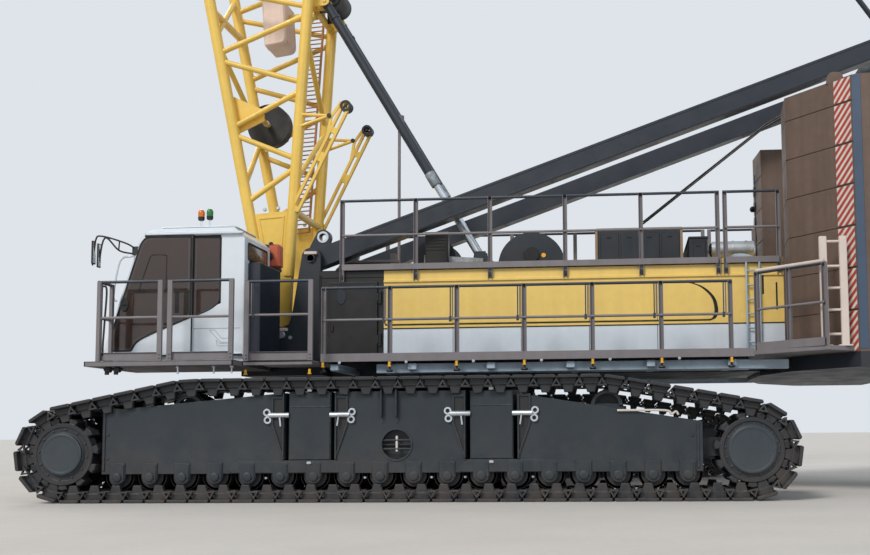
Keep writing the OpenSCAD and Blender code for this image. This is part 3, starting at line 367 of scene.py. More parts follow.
class Finish:
    """A material under construction, with its Principled shader and its Object coordinates."""

    def __init__(self, name, colour, rough=0.5, metallic=0.0, **sockets):
        self.material = bpy.data.materials.new(name)
        self.material.use_nodes = True
        self.nodes = self.material.node_tree.nodes
        self.shader = self.nodes["Principled BSDF"]
        self.shader.inputs["Roughness"].default_value = rough
        self.shader.inputs["Metallic"].default_value = metallic
        self.shader.inputs["Base Color"].default_value = colour
        for socket, value in sockets.items():
            self.shader.inputs[socket.replace("_", " ")].default_value = value
        self.material.diffuse_color = colour
        self.where = self.add("TexCoord").outputs["Object"]
        self.colour = colour
        self.rough = rough
        self.normal = None

    def add(self, kind, inputs=(), **settings):
        node = self.nodes.new("ShaderNode" + kind)
        for key, value in settings.items():
            setattr(node, key, value)
        for key, value in dict(inputs).items():
            self.join(value, node.inputs[key])
        return node

    def join(self, value, socket):
        if isinstance(value, bpy.types.NodeSocket):
            self.material.node_tree.links.new(value, socket)
        else:
            socket.default_value = value

    def noise(self, scale, detail=2.0, stretch=(1, 1, 1), rough=0.5, offset=0.0):
        place = self.where
        if stretch != (1, 1, 1) or offset:
            place = self.add("Mapping", {0: place, 1: (offset,) * 3, 3: stretch}).outputs[0]
        return self.add(
            "TexNoise", {"Vector": place, "Scale": scale, "Detail": detail, "Roughness": rough}
        ).outputs[0]

    def ramp(self, value, low, high, to_low=0.0, to_high=1.0):
        """A value mapped from low..high to to_low..to_high and held at both ends."""
        node = self.add("MapRange", {0: value, 1: low, 2: high, 3: to_low, 4: to_high})
        return node.outputs[0]

    def sum_of(self, operation, a, b):
        return self.add("Math", {0: a, 1: b}, operation=operation).outputs[0]

    def mix(self, share, a, b):
        node = self.add("Mix", data_type="RGBA")
        self.join(share, node.inputs["Factor"])
        self.join(a, node.inputs["A"])
        self.join(b, node.inputs["B"])
        return node.outputs["Result"]

    def tint(self, share, colour):
        """Lays a colour over what is there, by a share from 0 to 1."""
        self.colour = self.mix(share, self.colour, colour)

    def matt(self, share, rough):
        """Moves the roughness towards a value, by a share from 0 to 1."""
        node = self.add("Mix")
        self.join(share, node.inputs["Factor"])
        self.join(self.rough, node.inputs["A"])
        self.join(rough, node.inputs["B"])
        self.rough = node.outputs["Result"]

    def shade(self, by, value, low=0.35, high=0.65):
        """Darkens and lightens the colour by a share, over a pattern's range."""
        base = self.colour if isinstance(self.colour, bpy.types.NodeSocket) else self.colour[:3]
        factor = self.ramp(value, low, high, 1 - by, 1 + by)
        self.colour = self.add("VectorMath", {0: base, "Scale": factor}, operation="SCALE").outputs[0]

    def rounded_edges(self, radius):
        self.normal = self.add("Bevel", {"Radius": radius}, samples=4).outputs[0]
        return self.normal

    def edges(self, radius, low=0.02, high=0.25):
        """1 on sharp corners, 0 on flats: how far the rounded normal leans from the true one."""
        true = self.add("NewGeometry").outputs["True Normal"]
        bent = self.add("Bevel", {"Radius": radius}, samples=4).outputs[0]
        lean = self.add("VectorMath", {0: true, 1: bent}, operation="DOT_PRODUCT").outputs["Value"]
        return self.ramp(lean, 1 - low, 1 - high, 0.0, 1.0)

    def bump(self, height, strength=0.2, distance=0.01):
        inputs = {"Height": height, "Strength": strength, "Distance": distance}
        if self.normal is not None:
            inputs["Normal"] = self.normal
        self.normal = self.add("Bump", inputs).outputs[0]

    def facing_up(self):
        return self.add("SeparateXYZ", {0: self.add("NewGeometry").outputs["Normal"]}).outputs[2]

    def height(self):
        return self.add("SeparateXYZ", {0: self.where}).outputs[2]

    def done(self):
        s = self.shader.inputs
        for socket, value in (
            ("Base Color", self.colour), ("Roughness", self.rough), ("Normal", self.normal)
        ):
            if isinstance(value, bpy.types.NodeSocket):
                self.join(value, s[socket])
        return self.material


DUST = linear(128, 112, 98)


def paint(name, colour, rough=0.38, vary=0.05, streak=0.05, dust=0.25, wear=0.0, edge=0.006, **sockets):
    """Sprayed paint: slow drifts in tone, rain streaks, orange peel, settled dust and edges worn towards
    bare metal."""
    f = Finish(name, colour, rough, **sockets)
    f.shade(vary, f.noise(0.55, 3))
    f.shade(vary * 0.6, f.noise(9.0, 3))
    if streak:
        f.shade(streak, f.noise(1.0, 3, (7, 7, 0.5)))
    grime = f.ramp(f.noise(2.4, 5, rough=0.65), 0.42, 0.72)
    up = f.ramp(f.facing_up(), 0.3, 0.95)
    lying = f.sum_of("ADD", f.sum_of("MULTIPLY", up, 0.8), 0.2)
    f.tint(f.sum_of("MULTIPLY", f.sum_of("MULTIPLY", grime, lying), dust), DUST)
    f.matt(grime, min(rough + 0.22, 0.9))
    if edge:
        f.rounded_edges(edge)
    if wear:
        chips = f.sum_of("MULTIPLY", f.edges(0.012), f.ramp(f.noise(14, 4, rough=0.7), 0.5, 0.66))
        f.tint(f.sum_of("MULTIPLY", chips, wear), linear(150, 145, 138))
    f.bump(f.noise(160, 2), 0.05, 0.002)
    return f.done()


def ground_in(name, colour, rough, low, high, mud, **kind):
    """Paint near the ground: as paint, with dried dust that thins out from height low to height high."""
    f = Finish(name, colour, rough)
    f.shade(0.07, f.noise(0.7, 3))
    f.shade(0.05, f.noise(11, 3))
    f.shade(0.05, f.noise(1.0, 3, (6, 6, 0.6)))
    near = f.ramp(f.height(), low, high, 1.0, 0.0)
    patches = f.ramp(f.noise(3.1, 6, rough=0.7), 0.38, 0.7)
    up = f.ramp(f.facing_up(), 0.2, 0.9, 0.0, 0.5)
    share = f.sum_of("MULTIPLY", patches, f.sum_of("ADD", near, up))
    f.tint(f.sum_of("MULTIPLY", share, mud), DUST)
    f.matt(share, 0.85)
    f.rounded_edges(kind.get("edge", 0.008))
    chips = f.sum_of("MULTIPLY", f.edges(0.014), f.ramp(f.noise(12, 4, rough=0.7), 0.5, 0.64))
    f.tint(f.sum_of("MULTIPLY", chips, kind.get("wear", 0.35)), linear(132, 132, 134))
    f.bump(f.noise(70, 3), 0.1, 0.004)
    return f.done()


def steel(name, colour, rough=0.35, metallic=0.9, vary=0.12, scratch=40.0, grime=0.3, edge=0.003):
    """Bare or plated metal: cloudy tone, fine scratches and dull patches."""
    f = Finish(name, colour, rough, metallic)
    f.shade(vary, f.noise(4, 4))
    f.shade(vary * 0.5, f.noise(scratch, 3, (1, 1, 6)))
    dull = f.ramp(f.noise(6, 5, rough=0.7), 0.4, 0.7)
    f.tint(f.sum_of("MULTIPLY", dull, grime), linear(60, 54, 50))
    f.matt(dull, min(rough + 0.3, 0.9))
    if edge:
        f.rounded_edges(edge)
    f.bump(f.noise(220, 2), 0.06, 0.002)
    return f.done()


def plastic(name, colour, rough=0.5, grain=300.0, depth=0.12, **sockets):
    """Moulded plastic or rubber with a fine even grain and a little bloom."""
    f = Finish(name, colour, rough, **sockets)
    f.shade(0.05, f.noise(3, 3))
    f.matt(f.ramp(f.noise(7, 4), 0.4, 0.7), min(rough + 0.15, 0.95))
    f.bump(f.noise(grain, 2), depth, 0.002)
    return f.done()


def glass(name, colour, alpha, rough=0.06):
    """Tinted glass: a dark body that lets some light through, with faint dust."""
    f = Finish(name, colour, rough, Alpha=alpha, Coat_Weight=0.6, Coat_Roughness=0.03)
    f.shade(0.10, f.noise(1.5, 3))
    f.matt(f.ramp(f.noise(9, 5, rough=0.7), 0.5, 0.75), 0.22)
    f.bump(f.noise(2.0, 1), 0.02, 0.01)
    return f.done()


def woven(name, colour):
    """Seat fabric: a plain weave of two crossing sets of threads, and faint wear."""
    f = Finish(name, colour, 0.85, Sheen_Weight=0.3)
    f.shade(0.08, f.noise(6, 3))
    waves = [
        f.add("TexWave", {"Vector": f.where, "Scale": 90.0, "Distortion": 0.5}, bands_direction=d).outputs[1]
        for d in ("X", "Z")
    ]
    weave = f.sum_of("MULTIPLY", *waves)
    f.shade(0.12, weave, 0, 1)
    f.bump(weave, 0.3, 0.003)
    return f.done()


def wire_rope(name, colour):
    """Greased steel rope: strands that wind round it, as waves across its length, under a film of grease."""
    f = Finish(name, colour, 0.5, 0.6)
    strands = f.add(
        "TexWave", {"Vector": f.where, "Scale": 22.0, "Distortion": 0.4}, bands_direction="DIAGONAL"
    ).outputs[1]
    f.shade(0.25, strands, 0, 1)
    f.shade(0.15, f.noise(5, 3))
    f.bump(strands, 0.4, 0.004)
    return f.done()


DARK_PAINT = ground_in("undercarriage_paint", linear(32, 41, 48), 0.46, 0.1, 1.1, 0.2)
TRACK_STEEL = ground_in("track_steel", linear(36, 38, 42), 0.42, 0.0, 1.6, 0.25, wear=0.6, edge=0.006)
WHEEL_STEEL = ground_in("wheel_steel", linear(33, 35, 40), 0.45, 0.0, 1.0, 0.25, wear=0.4)
HUB_PAINT = ground_in("hub_paint", linear(48, 57, 64), 0.42, 0.0, 0.9, 0.18, wear=0.2)
RING_STEEL = steel("ring_steel", linear(120, 118, 114), 0.4)
PLATFORM_PAINT = paint("platform_paint", linear(28, 36, 46), 0.42, dust=0.25, wear=0.3)
# White paint as it looks in shade: the pale blue-grey is painted shade, used as the colour of the frames and
# fittings that take it.
SHADED_WHITE_PAINT = paint("frame_paint", linear(166, 184, 198), 0.42, dust=0.4, wear=0.2)
RAIL_PAINT = paint("rail_paint", linear(124, 119, 122), 0.5, dust=0.15, wear=0.25, edge=0.004)
RAIL_TOP = paint("rail_top_paint", linear(48, 56, 68), 0.4, dust=0.15, wear=0.15, edge=0.004)
CAB_WHITE = paint(
    "cab_white", linear(222, 230, 237), 0.28, vary=0.02, streak=0.02, dust=0.08, edge=0.035, Coat_Weight=0.3
)
ZINC = steel("zinc_coat", linear(150, 158, 164), 0.5, 0.6, vary=0.25, scratch=12.0, grime=0.4)
CLAY_PAINT = paint("clay_paint", linear(150, 126, 104), 0.5, dust=0.2)
WHITE_PAINT = paint(
    "white_paint", linear(216, 225, 234), 0.3, vary=0.025, streak=0.02, dust=0.12, Coat_Weight=0.25
)
YELLOW_PAINT = paint(
    "yellow_paint", linear(236, 196, 88), 0.34, vary=0.045, streak=0.03, dust=0.14, wear=0.12,
    Coat_Weight=0.15
)
HOUSE_YELLOW = paint(
    "house_yellow", linear(238, 203, 112), 0.3, vary=0.035, streak=0.03, dust=0.12, Coat_Weight=0.25
)
BLACK_PAINT = paint("black_paint", linear(13, 13, 15), 0.36, dust=0.06, wear=0.1)
ENGINE_PAINT = paint("engine_paint", linear(150, 152, 154), 0.45, dust=0.2)
SILVER = steel("silver_metal", linear(196, 198, 200), 0.28, 0.95)
PIN_STEEL = steel("pin_steel", linear(200, 206, 212), 0.3, 0.8, edge=0.002)
ROD_STEEL = steel("rod_steel", linear(190, 196, 202), 0.18, 0.95, grime=0.1)
NAVY_PAINT = paint("navy_paint", linear(24, 33, 45), 0.36, vary=0.05, dust=0.08, wear=0.15, Coat_Weight=0.1)
WEIGHT_PAINT = paint("weight_paint", linear(100, 82, 72), 0.55, vary=0.09, streak=0.10, dust=0.2, wear=0.3)
PALE_PAINT = paint("pale_paint", linear(216, 202, 192), 0.45, dust=0.15, wear=0.2)
BLACK_PLASTIC = plastic("black_plastic", linear(28, 28, 30), 0.5)
RUBBER = plastic("rubber", linear(24, 24, 25), 0.75, 200)
AMBER_LENS = plastic("amber_lens", linear(232, 122, 30), 0.22, 60, 0.2, Transmission_Weight=0.25)
GREEN_LENS = plastic("green_lens", linear(40, 130, 62), 0.22, 60, 0.2, Transmission_Weight=0.25)
CLEAR_LENS = plastic("clear_lens", linear(228, 232, 236), 0.12, 40, 0.3, Transmission_Weight=0.4)
ORANGE_PAINT = paint("orange_paint", linear(196, 92, 58), 0.4)
RED_STRIPE = paint("stripe_red", linear(176, 62, 48), 0.45, vary=0.06, dust=0.25, wear=0.2)
PALE_STRIPE = paint("stripe_pale", linear(214, 206, 198), 0.45, vary=0.06, dust=0.3, wear=0.2)
# Blue-grey for the counterweights' corner chamfers: grey metal with painted shade.
CORNER_SHADE_PAINT = paint("corner_shade_paint", linear(58, 78, 102), 0.5, dust=0.15)
TANK_PAINT = paint("tank_paint", linear(226, 204, 192), 0.4, dust=0.1)
CAB_GLASS = glass("cab_glass", linear(70, 56, 50), 0.82)
AMBER_GLASS = glass("amber_glass", linear(128, 92, 52), 0.86)
MIRROR = steel("mirror_face", linear(205, 212, 220), 0.06, 1.0, 0.02, grime=0.02)
SEAT_FABRIC = woven("seat_fabric", linear(44, 44, 50))
ROPE = wire_rope("rope_steel", linear(74, 74, 78))
GRATING = steel("grating_steel", linear(112, 104, 100), 0.5, 0.4, grime=0.45)
BROWN_GRATING = steel("ladder_grating", linear(176, 126, 84), 0.6, 0.1, grime=0.1)
GRIP = plastic("hazard_yellow", linear(238, 178, 40), 0.45)


# Camera, light and floor

PHOTO_W, PHOTO_H = 870, 555
FOCAL_PX, AXIS_PX = 1109.8, (540.2, 334.0)
YAW, PITCH, ROLL = math.radians(4.539), math.radians(5.089), math.radians(-0.485)
EYE = (-2.867, 17.819, 0.841)


def aim_camera():
    """The photograph's view: from the left side, near the ground, with the optical axis off centre."""
    lens = bpy.data.cameras.new("view")
    lens.sensor_width = 36.0
    lens.lens = FOCAL_PX / PHOTO_W * lens.sensor_width
    lens.shift_x = (PHOTO_W / 2 - AXIS_PX[0]) / PHOTO_W
    lens.shift_y = (AXIS_PX[1] - PHOTO_H / 2) / PHOTO_W
    lens.clip_end = 2000
    camera = bpy.data.objects.new("view", lens)
    bpy.context.scene.collection.objects.link(camera)
    turn = Matrix.Rotation(math.pi + YAW, 4, "Z") @ Matrix.Rotation(math.pi / 2 + PITCH, 4, "X")
    camera.matrix_world = Matrix.Translation(EYE) @ turn @ Matrix.Rotation(ROLL, 4, "Z")
    camera.rotation_mode = "QUATERNION"
    bpy.context.scene.camera = camera


def lamp(name, towards, spread, strength, colour):
    """A far light that falls in one direction everywhere, its shadows softened by a spread in degrees."""
    light = bpy.data.lights.new(name, "SUN")
    light.angle, light.energy, light.color = math.radians(spread), strength, colour
    holder = bpy.data.objects.new(name, light)
    bpy.context.scene.collection.objects.link(holder)
    holder.rotation_mode = "QUATERNION"
    holder.rotation_quaternion = Vector(towards).to_track_quat("-Z", "Y")


def light_the_room():
    """Plain pale surroundings: a soft sky, a large key light above the left front and a weak one from
    behind."""
    world = bpy.data.worlds.new("studio")
    bpy.context.scene.world = world
    world.use_nodes = True
    nodes, links = world.node_tree.nodes, world.node_tree.links
    sky = nodes["Background"]
    sky.inputs[0].default_value = linear(214, 224, 236)
    sky.inputs[1].default_value = 0.50
    seen = nodes.new("ShaderNodeBackground")
    seen.inputs[0].default_value = linear(222, 228, 234)
    path = nodes.new("ShaderNodeLightPath")
    either = nodes.new("ShaderNodeMath")
    either.operation = "MAXIMUM"
    also = nodes.new("ShaderNodeMath")
    also.operation = "MAXIMUM"
    choose = nodes.new("ShaderNodeMixShader")
    links.new(path.outputs["Is Camera Ray"], either.inputs[0])
    links.new(path.outputs["Is Glossy Ray"], either.inputs[1])
    links.new(either.outputs[0], also.inputs[0])
    links.new(path.outputs["Is Transmission Ray"], also.inputs[1])
    links.new(also.outputs[0], choose.inputs[0])
    links.new(sky.outputs[0], choose.inputs[1])
    links.new(seen.outputs[0], choose.inputs[2])
    links.new(choose.outputs[0], nodes["World Output"].inputs[0])
    lamp("key", (-0.55, -1.0, -0.95), 18, 2.0, (1.0, 0.96, 0.90))
    lamp("fill", (0.8, -0.8, -0.45), 40, 0.55, (0.88, 0.94, 1.0))
    lamp("back", (-0.5, 1.0, -0.8), 30, 0.6, (1.0, 0.97, 0.92))
    f = Finish("floor", linear(206, 201, 195), 0.9)
    f.shade(0.03, f.noise(0.8, 4))
    f.shade(0.02, f.noise(14, 3))
    f.bump(f.noise(40, 3), 0.1, 0.004)
    r = 420 * circle(96)
    mesh = bpy.data.meshes.new("floor")
    mesh.from_pydata([(x, y, 0.0) for x, y in r.tolist()], [], [list(range(96))])
    mesh.materials.append(f.done())
    floor = bpy.data.objects.new("floor", mesh)
    bpy.context.scene.collection.objects.link(floor)


aim_camera()
light_the_room()
bpy.context.scene.view_settings.view_transform = "Standard"

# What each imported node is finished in, where it stays on show
FINISH_OF = {
    "carbody": DARK_PAINT, "slew_ring": RING_STEEL, "track_frame_left": DARK_PAINT,
    "track_frame_right": DARK_PAINT,
    "track_left": TRACK_STEEL, "track_right": TRACK_STEEL, "track_rollers": WHEEL_STEEL,
    "drive_tumblers": WHEEL_STEEL, "idlers": WHEEL_STEEL,
    # walkways take the white paint with painted shade
    "platform": PLATFORM_PAINT, "walkways": SHADED_WHITE_PAINT, "walkway_rails": RAIL_PAINT,
    "house_lower": WHITE_PAINT, "house_upper": HOUSE_YELLOW, "house_front": BLACK_PAINT,
    "house_door": BLACK_PAINT,
    "engine": ENGINE_PAINT, "deck_rails": RAIL_PAINT, "deck_gear": PLATFORM_PAINT, "exhaust": SILVER,
    "cab_platform": RAIL_PAINT, "cab": CAB_WHITE, "cab_glass": CAB_GLASS, "cab_seat": SEAT_FABRIC,
    "cab_door": CAB_WHITE, "cab_door_glass": CAB_GLASS, "cab_post": PLATFORM_PAINT,
    "hoist_winch": PLATFORM_PAINT, "luffing_winch": PLATFORM_PAINT, "counterweight_base": PLATFORM_PAINT,
    "counterweight_left": WEIGHT_PAINT, "counterweight_right": WEIGHT_PAINT, "rear_access": RAIL_PAINT,
    "lamp_pole": RAIL_PAINT, "a_frame_arms": NAVY_PAINT, "a_frame_ties": NAVY_PAINT, "stays": NAVY_PAINT,
    "winch_stands": PLATFORM_PAINT, "boom_foot": YELLOW_PAINT, "boom_tank": TANK_PAINT,
    "boom_reel": BLACK_PLASTIC,
    "rope_guides": YELLOW_PAINT,
    "boom_middle": YELLOW_PAINT, "boom_head": YELLOW_PAINT, "boom_fittings": YELLOW_PAINT,
    "guide_sheave": BLACK_PLASTIC, "head_sheaves": PLATFORM_PAINT, "hook_block": YELLOW_PAINT,
    "hook": DARK_PAINT,
    "backstop_tube_left": NAVY_PAINT, "backstop_tube_right": NAVY_PAINT,
    "backstop_rod_left": ROD_STEEL, "backstop_rod_right": ROD_STEEL,
}
for node_name, node_object in frame["nodes"].items():
    node_object.data.materials.clear()
    node_object.data.materials.append(FINISH_OF[node_name])


# Tracks: the same loop of pins as the part's

GAUGE, SHOE_HALF, WHEELBASE = 7.2, 0.6, 8.7
LINKS_BELOW, FACES, WRAPPED = 31, 11, 5
PITCH = WHEELBASE / LINKS_BELOW
SHOE_BELOW, UPPER_RUN = 0.12, 1.44
PIN_R = PITCH / (2 * math.sin(math.pi / FACES))
AXLE_X, AXLE_Z, TRACK_Y = WHEELBASE / 2, SHOE_BELOW + PIN_R, GAUGE / 2
CARRIER_X = (AXLE_X - 1.59, -AXLE_X + 1.76)
FRAME_HALF = 0.44
FRAME_Y = TRACK_Y + FRAME_HALF
ROLLERS, ROLLER_SHIFT = 18, 0.037
ROLLER_X = ROLLER_SHIFT + np.linspace(-1, 1, ROLLERS) * (WHEELBASE / 2 - 0.738)
ROLLER_Z = 0.33


def track_pins():
    """Pins (x, z) round the loop: the ground run, the front wheel's corners (sin a, -cos a), the upper run
    over the
    two carrier rollers in equal steps, and the rear wheel's corners."""
    a = np.arange(WRAPPED + 1) * 2 * math.pi / FACES
    wrap = np.stack([AXLE_X + PIN_R * np.sin(a), AXLE_Z - PIN_R * np.cos(a)], -1)
    knees = np.array([wrap[-1], (CARRIER_X[0], UPPER_RUN), (CARRIER_X[1], UPPER_RUN), wrap[-1] * [-1, 1]])
    reach = np.concatenate([[0], np.cumsum(np.linalg.norm(np.diff(knees, axis=0), axis=1))])
    count = round(reach[-1] / PITCH)
    s = np.arange(count) * reach[-1] / count
    upper = np.stack([np.interp(s, reach, knees[:, 0]), np.interp(s, reach, knees[:, 1])], -1)
    below = np.stack([-AXLE_X + np.arange(LINKS_BELOW) * PITCH, np.full(LINKS_BELOW, SHOE_BELOW)], -1)
    return np.concatenate([below, wrap[:WRAPPED], upper, wrap[WRAPPED:0:-1] * [-1, 1]])


def shoe():
    """One link in its own axes, x along the track, z outwards from the pins: sole plate, body,
    roller rail, the tapered lugs that the wheels drive, and open three-cornered hinge ears."""
    p = PITCH
    outline = [(-0.45, 0.078), (-0.455, 0.098), (-0.40, 0.12), (0.40, 0.12), (0.455, 0.098), (0.45, 0.078)]
    sole = plate([(x * p, z) for x, z in outline], -SHOE_HALF, SHOE_HALF, bevel=0.006)
    body = plate(
        [(-0.34 * p, 0.0), (-0.38 * p, 0.082), (0.38 * p, 0.082), (0.34 * p, 0.0)], -0.52, 0.52, bevel=0.008
    )
    rail = plate(
        [(-0.47 * p, 0.03), (-0.40 * p, -0.03), (0.40 * p, -0.03), (0.47 * p, 0.03)], -0.36, 0.36, bevel=0.005
    )
    lug = plate([(-0.085, 0.03), (-0.048, -0.10), (0.048, -0.10), (0.085, 0.03)], 0.425, 0.495, bevel=0.008)
    middle = np.array([0.5 * p, 0.012])
    ear = np.array([(-0.062, -0.036), (0.062, -0.036), (0.0, 0.066)])
    ears = [frame_plate(middle + ear, middle + ear * 0.45, y, y + 0.028) for y in (0.55, 0.40)]
    return joined(sole, body, rail, both(joined(lug, *ears)))


def link_places(side):
    pins = track_pins()
    nxt = np.roll(pins, -1, 0)
    along = unit(nxt - pins)
    t = np.column_stack([along[:, 0], np.zeros(len(pins)), along[:, 1]])
    out = np.column_stack([along[:, 1], np.zeros(len(pins)), -along[:, 0]])
    middle = (pins + nxt) / 2
    at = np.column_stack([middle[:, 0], np.full(len(pins), side * TRACK_Y), middle[:, 1]])
    return frames(at, t, -Y_AXIS, out)


def build_tracks():
    one = shoe()
    for side, name in ((1, "track_left"), (-1, "track_right")):
        put(name + "_shoes", repeated(one, link_places(side)), TRACK_STEEL, "undercarriage", (name,))


def wheel_outline(r, notch, depth):
    """A wheel with as many flats as faces, a corner under each pin, and a square notch in the middle of
    each flat."""
    a = np.arange(FACES) * 2 * math.pi / FACES - math.pi / 2
    corner = r * np.stack([np.cos(a), np.sin(a)], -1)
    following = np.roll(corner, -1, 0)
    along = unit(following - corner)
    inward = np.stack([-along[:, 1], along[:, 0]], -1) * depth
    middle = (corner + following) / 2
    rim = [
        corner, middle - along * notch, middle - along * notch + inward, middle + along * notch + inward,
        middle + along * notch
    ]
    return np.stack(rim, 1).reshape(-1, 2)


def build_wheels():
    """Drive tumblers at the rear, idlers at the front: two notched discs each side of a yoke, with a capped
    hub."""
    rim = PIN_R - 0.032
    for name, x, cap, pins in (("idlers", AXLE_X, 0.27, 12), ("drive_tumblers", -AXLE_X, 0.295, 16)):
        outline = wheel_outline(rim, 0.066, 0.085) * [1 if x > 0 else -1, 1] + [x, AXLE_Z]
        discs = joined(plate(outline, 0.27, 0.50, bevel=0.012), plate(outline, -0.27, -0.50, bevel=0.012))
        at = (x, 0, AXLE_Z)
        drum = turned([(-0.27, 0.24), (0.27, 0.24)], at, sides=32)
        lip = [(0.495, 0.40), (0.512, 0.392), (0.512, 0.345), (0.495, 0.335)]
        rings = [turned([(s * y, r) for y, r in lip], at, sides=44) for s in (-1, 1)]
        wheel = repeated(joined(discs, drum, *rings), [(0, TRACK_Y, 0), (0, -TRACK_Y, 0)])
        put(name + "_wheels", wheel, WHEEL_STEEL, "undercarriage", (name,))
        edge = [
            (0.49, cap + 0.012), (0.515, cap + 0.012), (0.516, cap), (0.548, cap - 0.004),
            (0.556, cap - 0.016), (0.556, cap - 0.04), (0.552, cap - 0.046), (0.552, 0.05),
        ]
        caps = [turned([(s * y, r) for y, r in edge], at, sides=56) for s in (-1, 1)]
        a = np.arange(pins) * 2 * math.pi / pins + 0.1
        spots = np.stack([x + 0.318 * np.cos(a), np.full(pins, 0.5), AXLE_Z + 0.318 * np.sin(a)], -1)
        heads = both(bolts(spots, (0, 1, 0), 0.012, 0.014))
        shape = repeated(joined(*caps, heads), [(0, TRACK_Y, 0), (0, -TRACK_Y, 0)])
        put(name + "_hubs", shape, HUB_PAINT, "undercarriage")


def on_left_frame(x, z, proud=0.0):
    """Points on the outer face of the left track frame."""
    x, z = np.broadcast_arrays(np.asarray(x, float), np.asarray(z, float))
    return np.column_stack([np.ravel(x), np.full(x.size, FRAME_Y + proud), np.ravel(z)])


def build_roller_covers():
    """Bearing cover over each bottom roller's end: a U-shaped plate with a rib down its rear edge and a
    capped pin."""
    t = np.linspace(math.pi, 2 * math.pi, 11)
    u = np.vstack([[(0.1, 0.17)], [(-0.1, 0.17)], np.column_stack([0.1 * np.cos(t), 0.1 * np.sin(t)])])
    cover = plate(u, FRAME_Y, FRAME_Y + 0.014, bevel=0.004)
    rib = boxes((-0.088, FRAME_Y + 0.012, -0.03), (-0.070, FRAME_Y + 0.028, 0.15), 0.003)
    hub = turned(
        [(0, 0.055), (0.022, 0.055), (0.026, 0.045), (0.026, 0.02)], (0, FRAME_Y + 0.012, -0.012), sides=20
    )
    at = np.column_stack([ROLLER_X, np.zeros(ROLLERS), np.full(ROLLERS, ROLLER_Z)])
    put("roller_covers", both(repeated(joined(cover, rib, hub), at)), DARK_PAINT, "undercarriage")
    section = [(-0.30, 0.15), (-0.30, 0.185), (-0.36, 0.185), (-0.36, 0.15), (-0.30, 0.15)]
    ring = turned(section, (0, TRACK_Y, 0), sides=28)
    twin = joined(ring, (ring[0] * [1, -1, 1] + [0, 2 * TRACK_Y, 0], ring[1], ring[2]))
    put("roller_flanges", both(repeated(twin, at)), WHEEL_STEEL, "undercarriage")
    gaps = (ROLLER_X[:-1] + ROLLER_X[1:]) / 2
    chosen = gaps[[4, 6, 7, 9, 12]]
    nipples = [
        turned([(0, 0.02), (0.03, 0.02), (0.036, 0.012)], p, sides=10)
        for p in on_left_frame(chosen, 0.30, -0.1)
    ]
    put("grease_nipples", both(joined(*nipples)), PIN_STEEL, "undercarriage")


BEAM_X, BEAM_HALF, POCKET = 1.155, 0.27, 0.055
BEAM_Z = (0.52, 1.38)
PIN_BAR_Z = 1.09
BEAM_END_MID, BEAM_END_HIGH = 0.95, 0.84


def build_beam_locks():
    """Where a cross beam enters a track frame: recessed cheeks with a black plate of painted shade in each
    hollow, a pin bar to either side with twin eyes, and small fittings above and below."""
    cheeks, shade, pins, eyes, nips = [], [], [], [], []
    for x in (BEAM_X, -BEAM_X):
        for s in (-1, 1):
            edge = x + s * (BEAM_HALF + POCKET)
            at = (edge + s * 0.012, FRAME_Y + 0.006, BEAM_END_MID)
            cheeks.append(box_at(at, (0.022, 0.05, BEAM_END_HIGH), 0.004))
            out = edge + s * 0.022
            # A black plate in the cheek's hollow: painted shade.
            hollow = np.array([(out, 1.30), (out + s * 0.12, 1.30), (out + s * 0.12, 0.98), (out, 0.62)])
            shade.append(plate(hollow, FRAME_Y - 0.002, FRAME_Y + 0.004, bevel=0.001))
            rim = [
                (out - s * 0.004, 1.33), (out + s * 0.145, 1.33), (out + s * 0.145, 0.97),
                (out - s * 0.004, 0.56)
            ]
            cheeks.append(frame_plate(np.array(rim), hollow, FRAME_Y, FRAME_Y + 0.02))
            a, b = (edge - s * 0.06, FRAME_Y + 0.01, PIN_BAR_Z), (out + s * 0.17, FRAME_Y + 0.03, PIN_BAR_Z)
            pins.append(bars(a, b, 0.034, 14))
            a, b = (out + s * 0.03, FRAME_Y + 0.045, 1.06), (out + s * 0.015, FRAME_Y + 0.05, 0.95)
            pins.append(bars(a, b, 0.012, 8))
            for dx, dz in ((0.20, 0.035), (0.19, -0.06)):
                ring = [(-0.012, 0.026), (-0.012, 0.048), (0.012, 0.048), (0.012, 0.026), (-0.012, 0.026)]
                eyes.append(turned(ring, (out + s * dx, FRAME_Y + 0.02, PIN_BAR_Z + dz), sides=20))
        for z in (BEAM_Z[1] + 0.02, BEAM_Z[0] - 0.03):
            nips.append(box_at((x, FRAME_Y + 0.02, z), (0.055, 0.03, 0.035), 0.006))
    put("beam_pockets", both(joined(*cheeks)), DARK_PAINT, "undercarriage")
    put("beam_recess_shade", both(joined(*shade)), BLACK_PLASTIC, "undercarriage")
    put("beam_pins", both(joined(*pins, *eyes)), PIN_STEEL, "undercarriage")
    put("beam_fittings", both(joined(*nips)), CLEAR_LENS, "undercarriage")
    ends = [
        box_at((x, FRAME_Y - 0.004, BEAM_END_MID), (2 * BEAM_HALF - 0.02, 0.016, BEAM_END_HIGH), 0.006)
        for x in (-BEAM_X, BEAM_X)
    ]
    welds = []
    for s in (-1, 1):
        a, b = [(s * BEAM_X + e * (BEAM_HALF - 0.012), FRAME_Y + 0.004, 1.19) for e in (-1, 1)]
        welds.append(bars(a, b, 0.006, 6))
    put("beam_ends", both(joined(*ends, *welds)), DARK_PAINT, "undercarriage")


HOLE_X, HOLE_Z, HOLE_R = 0.045, 0.71, 0.185


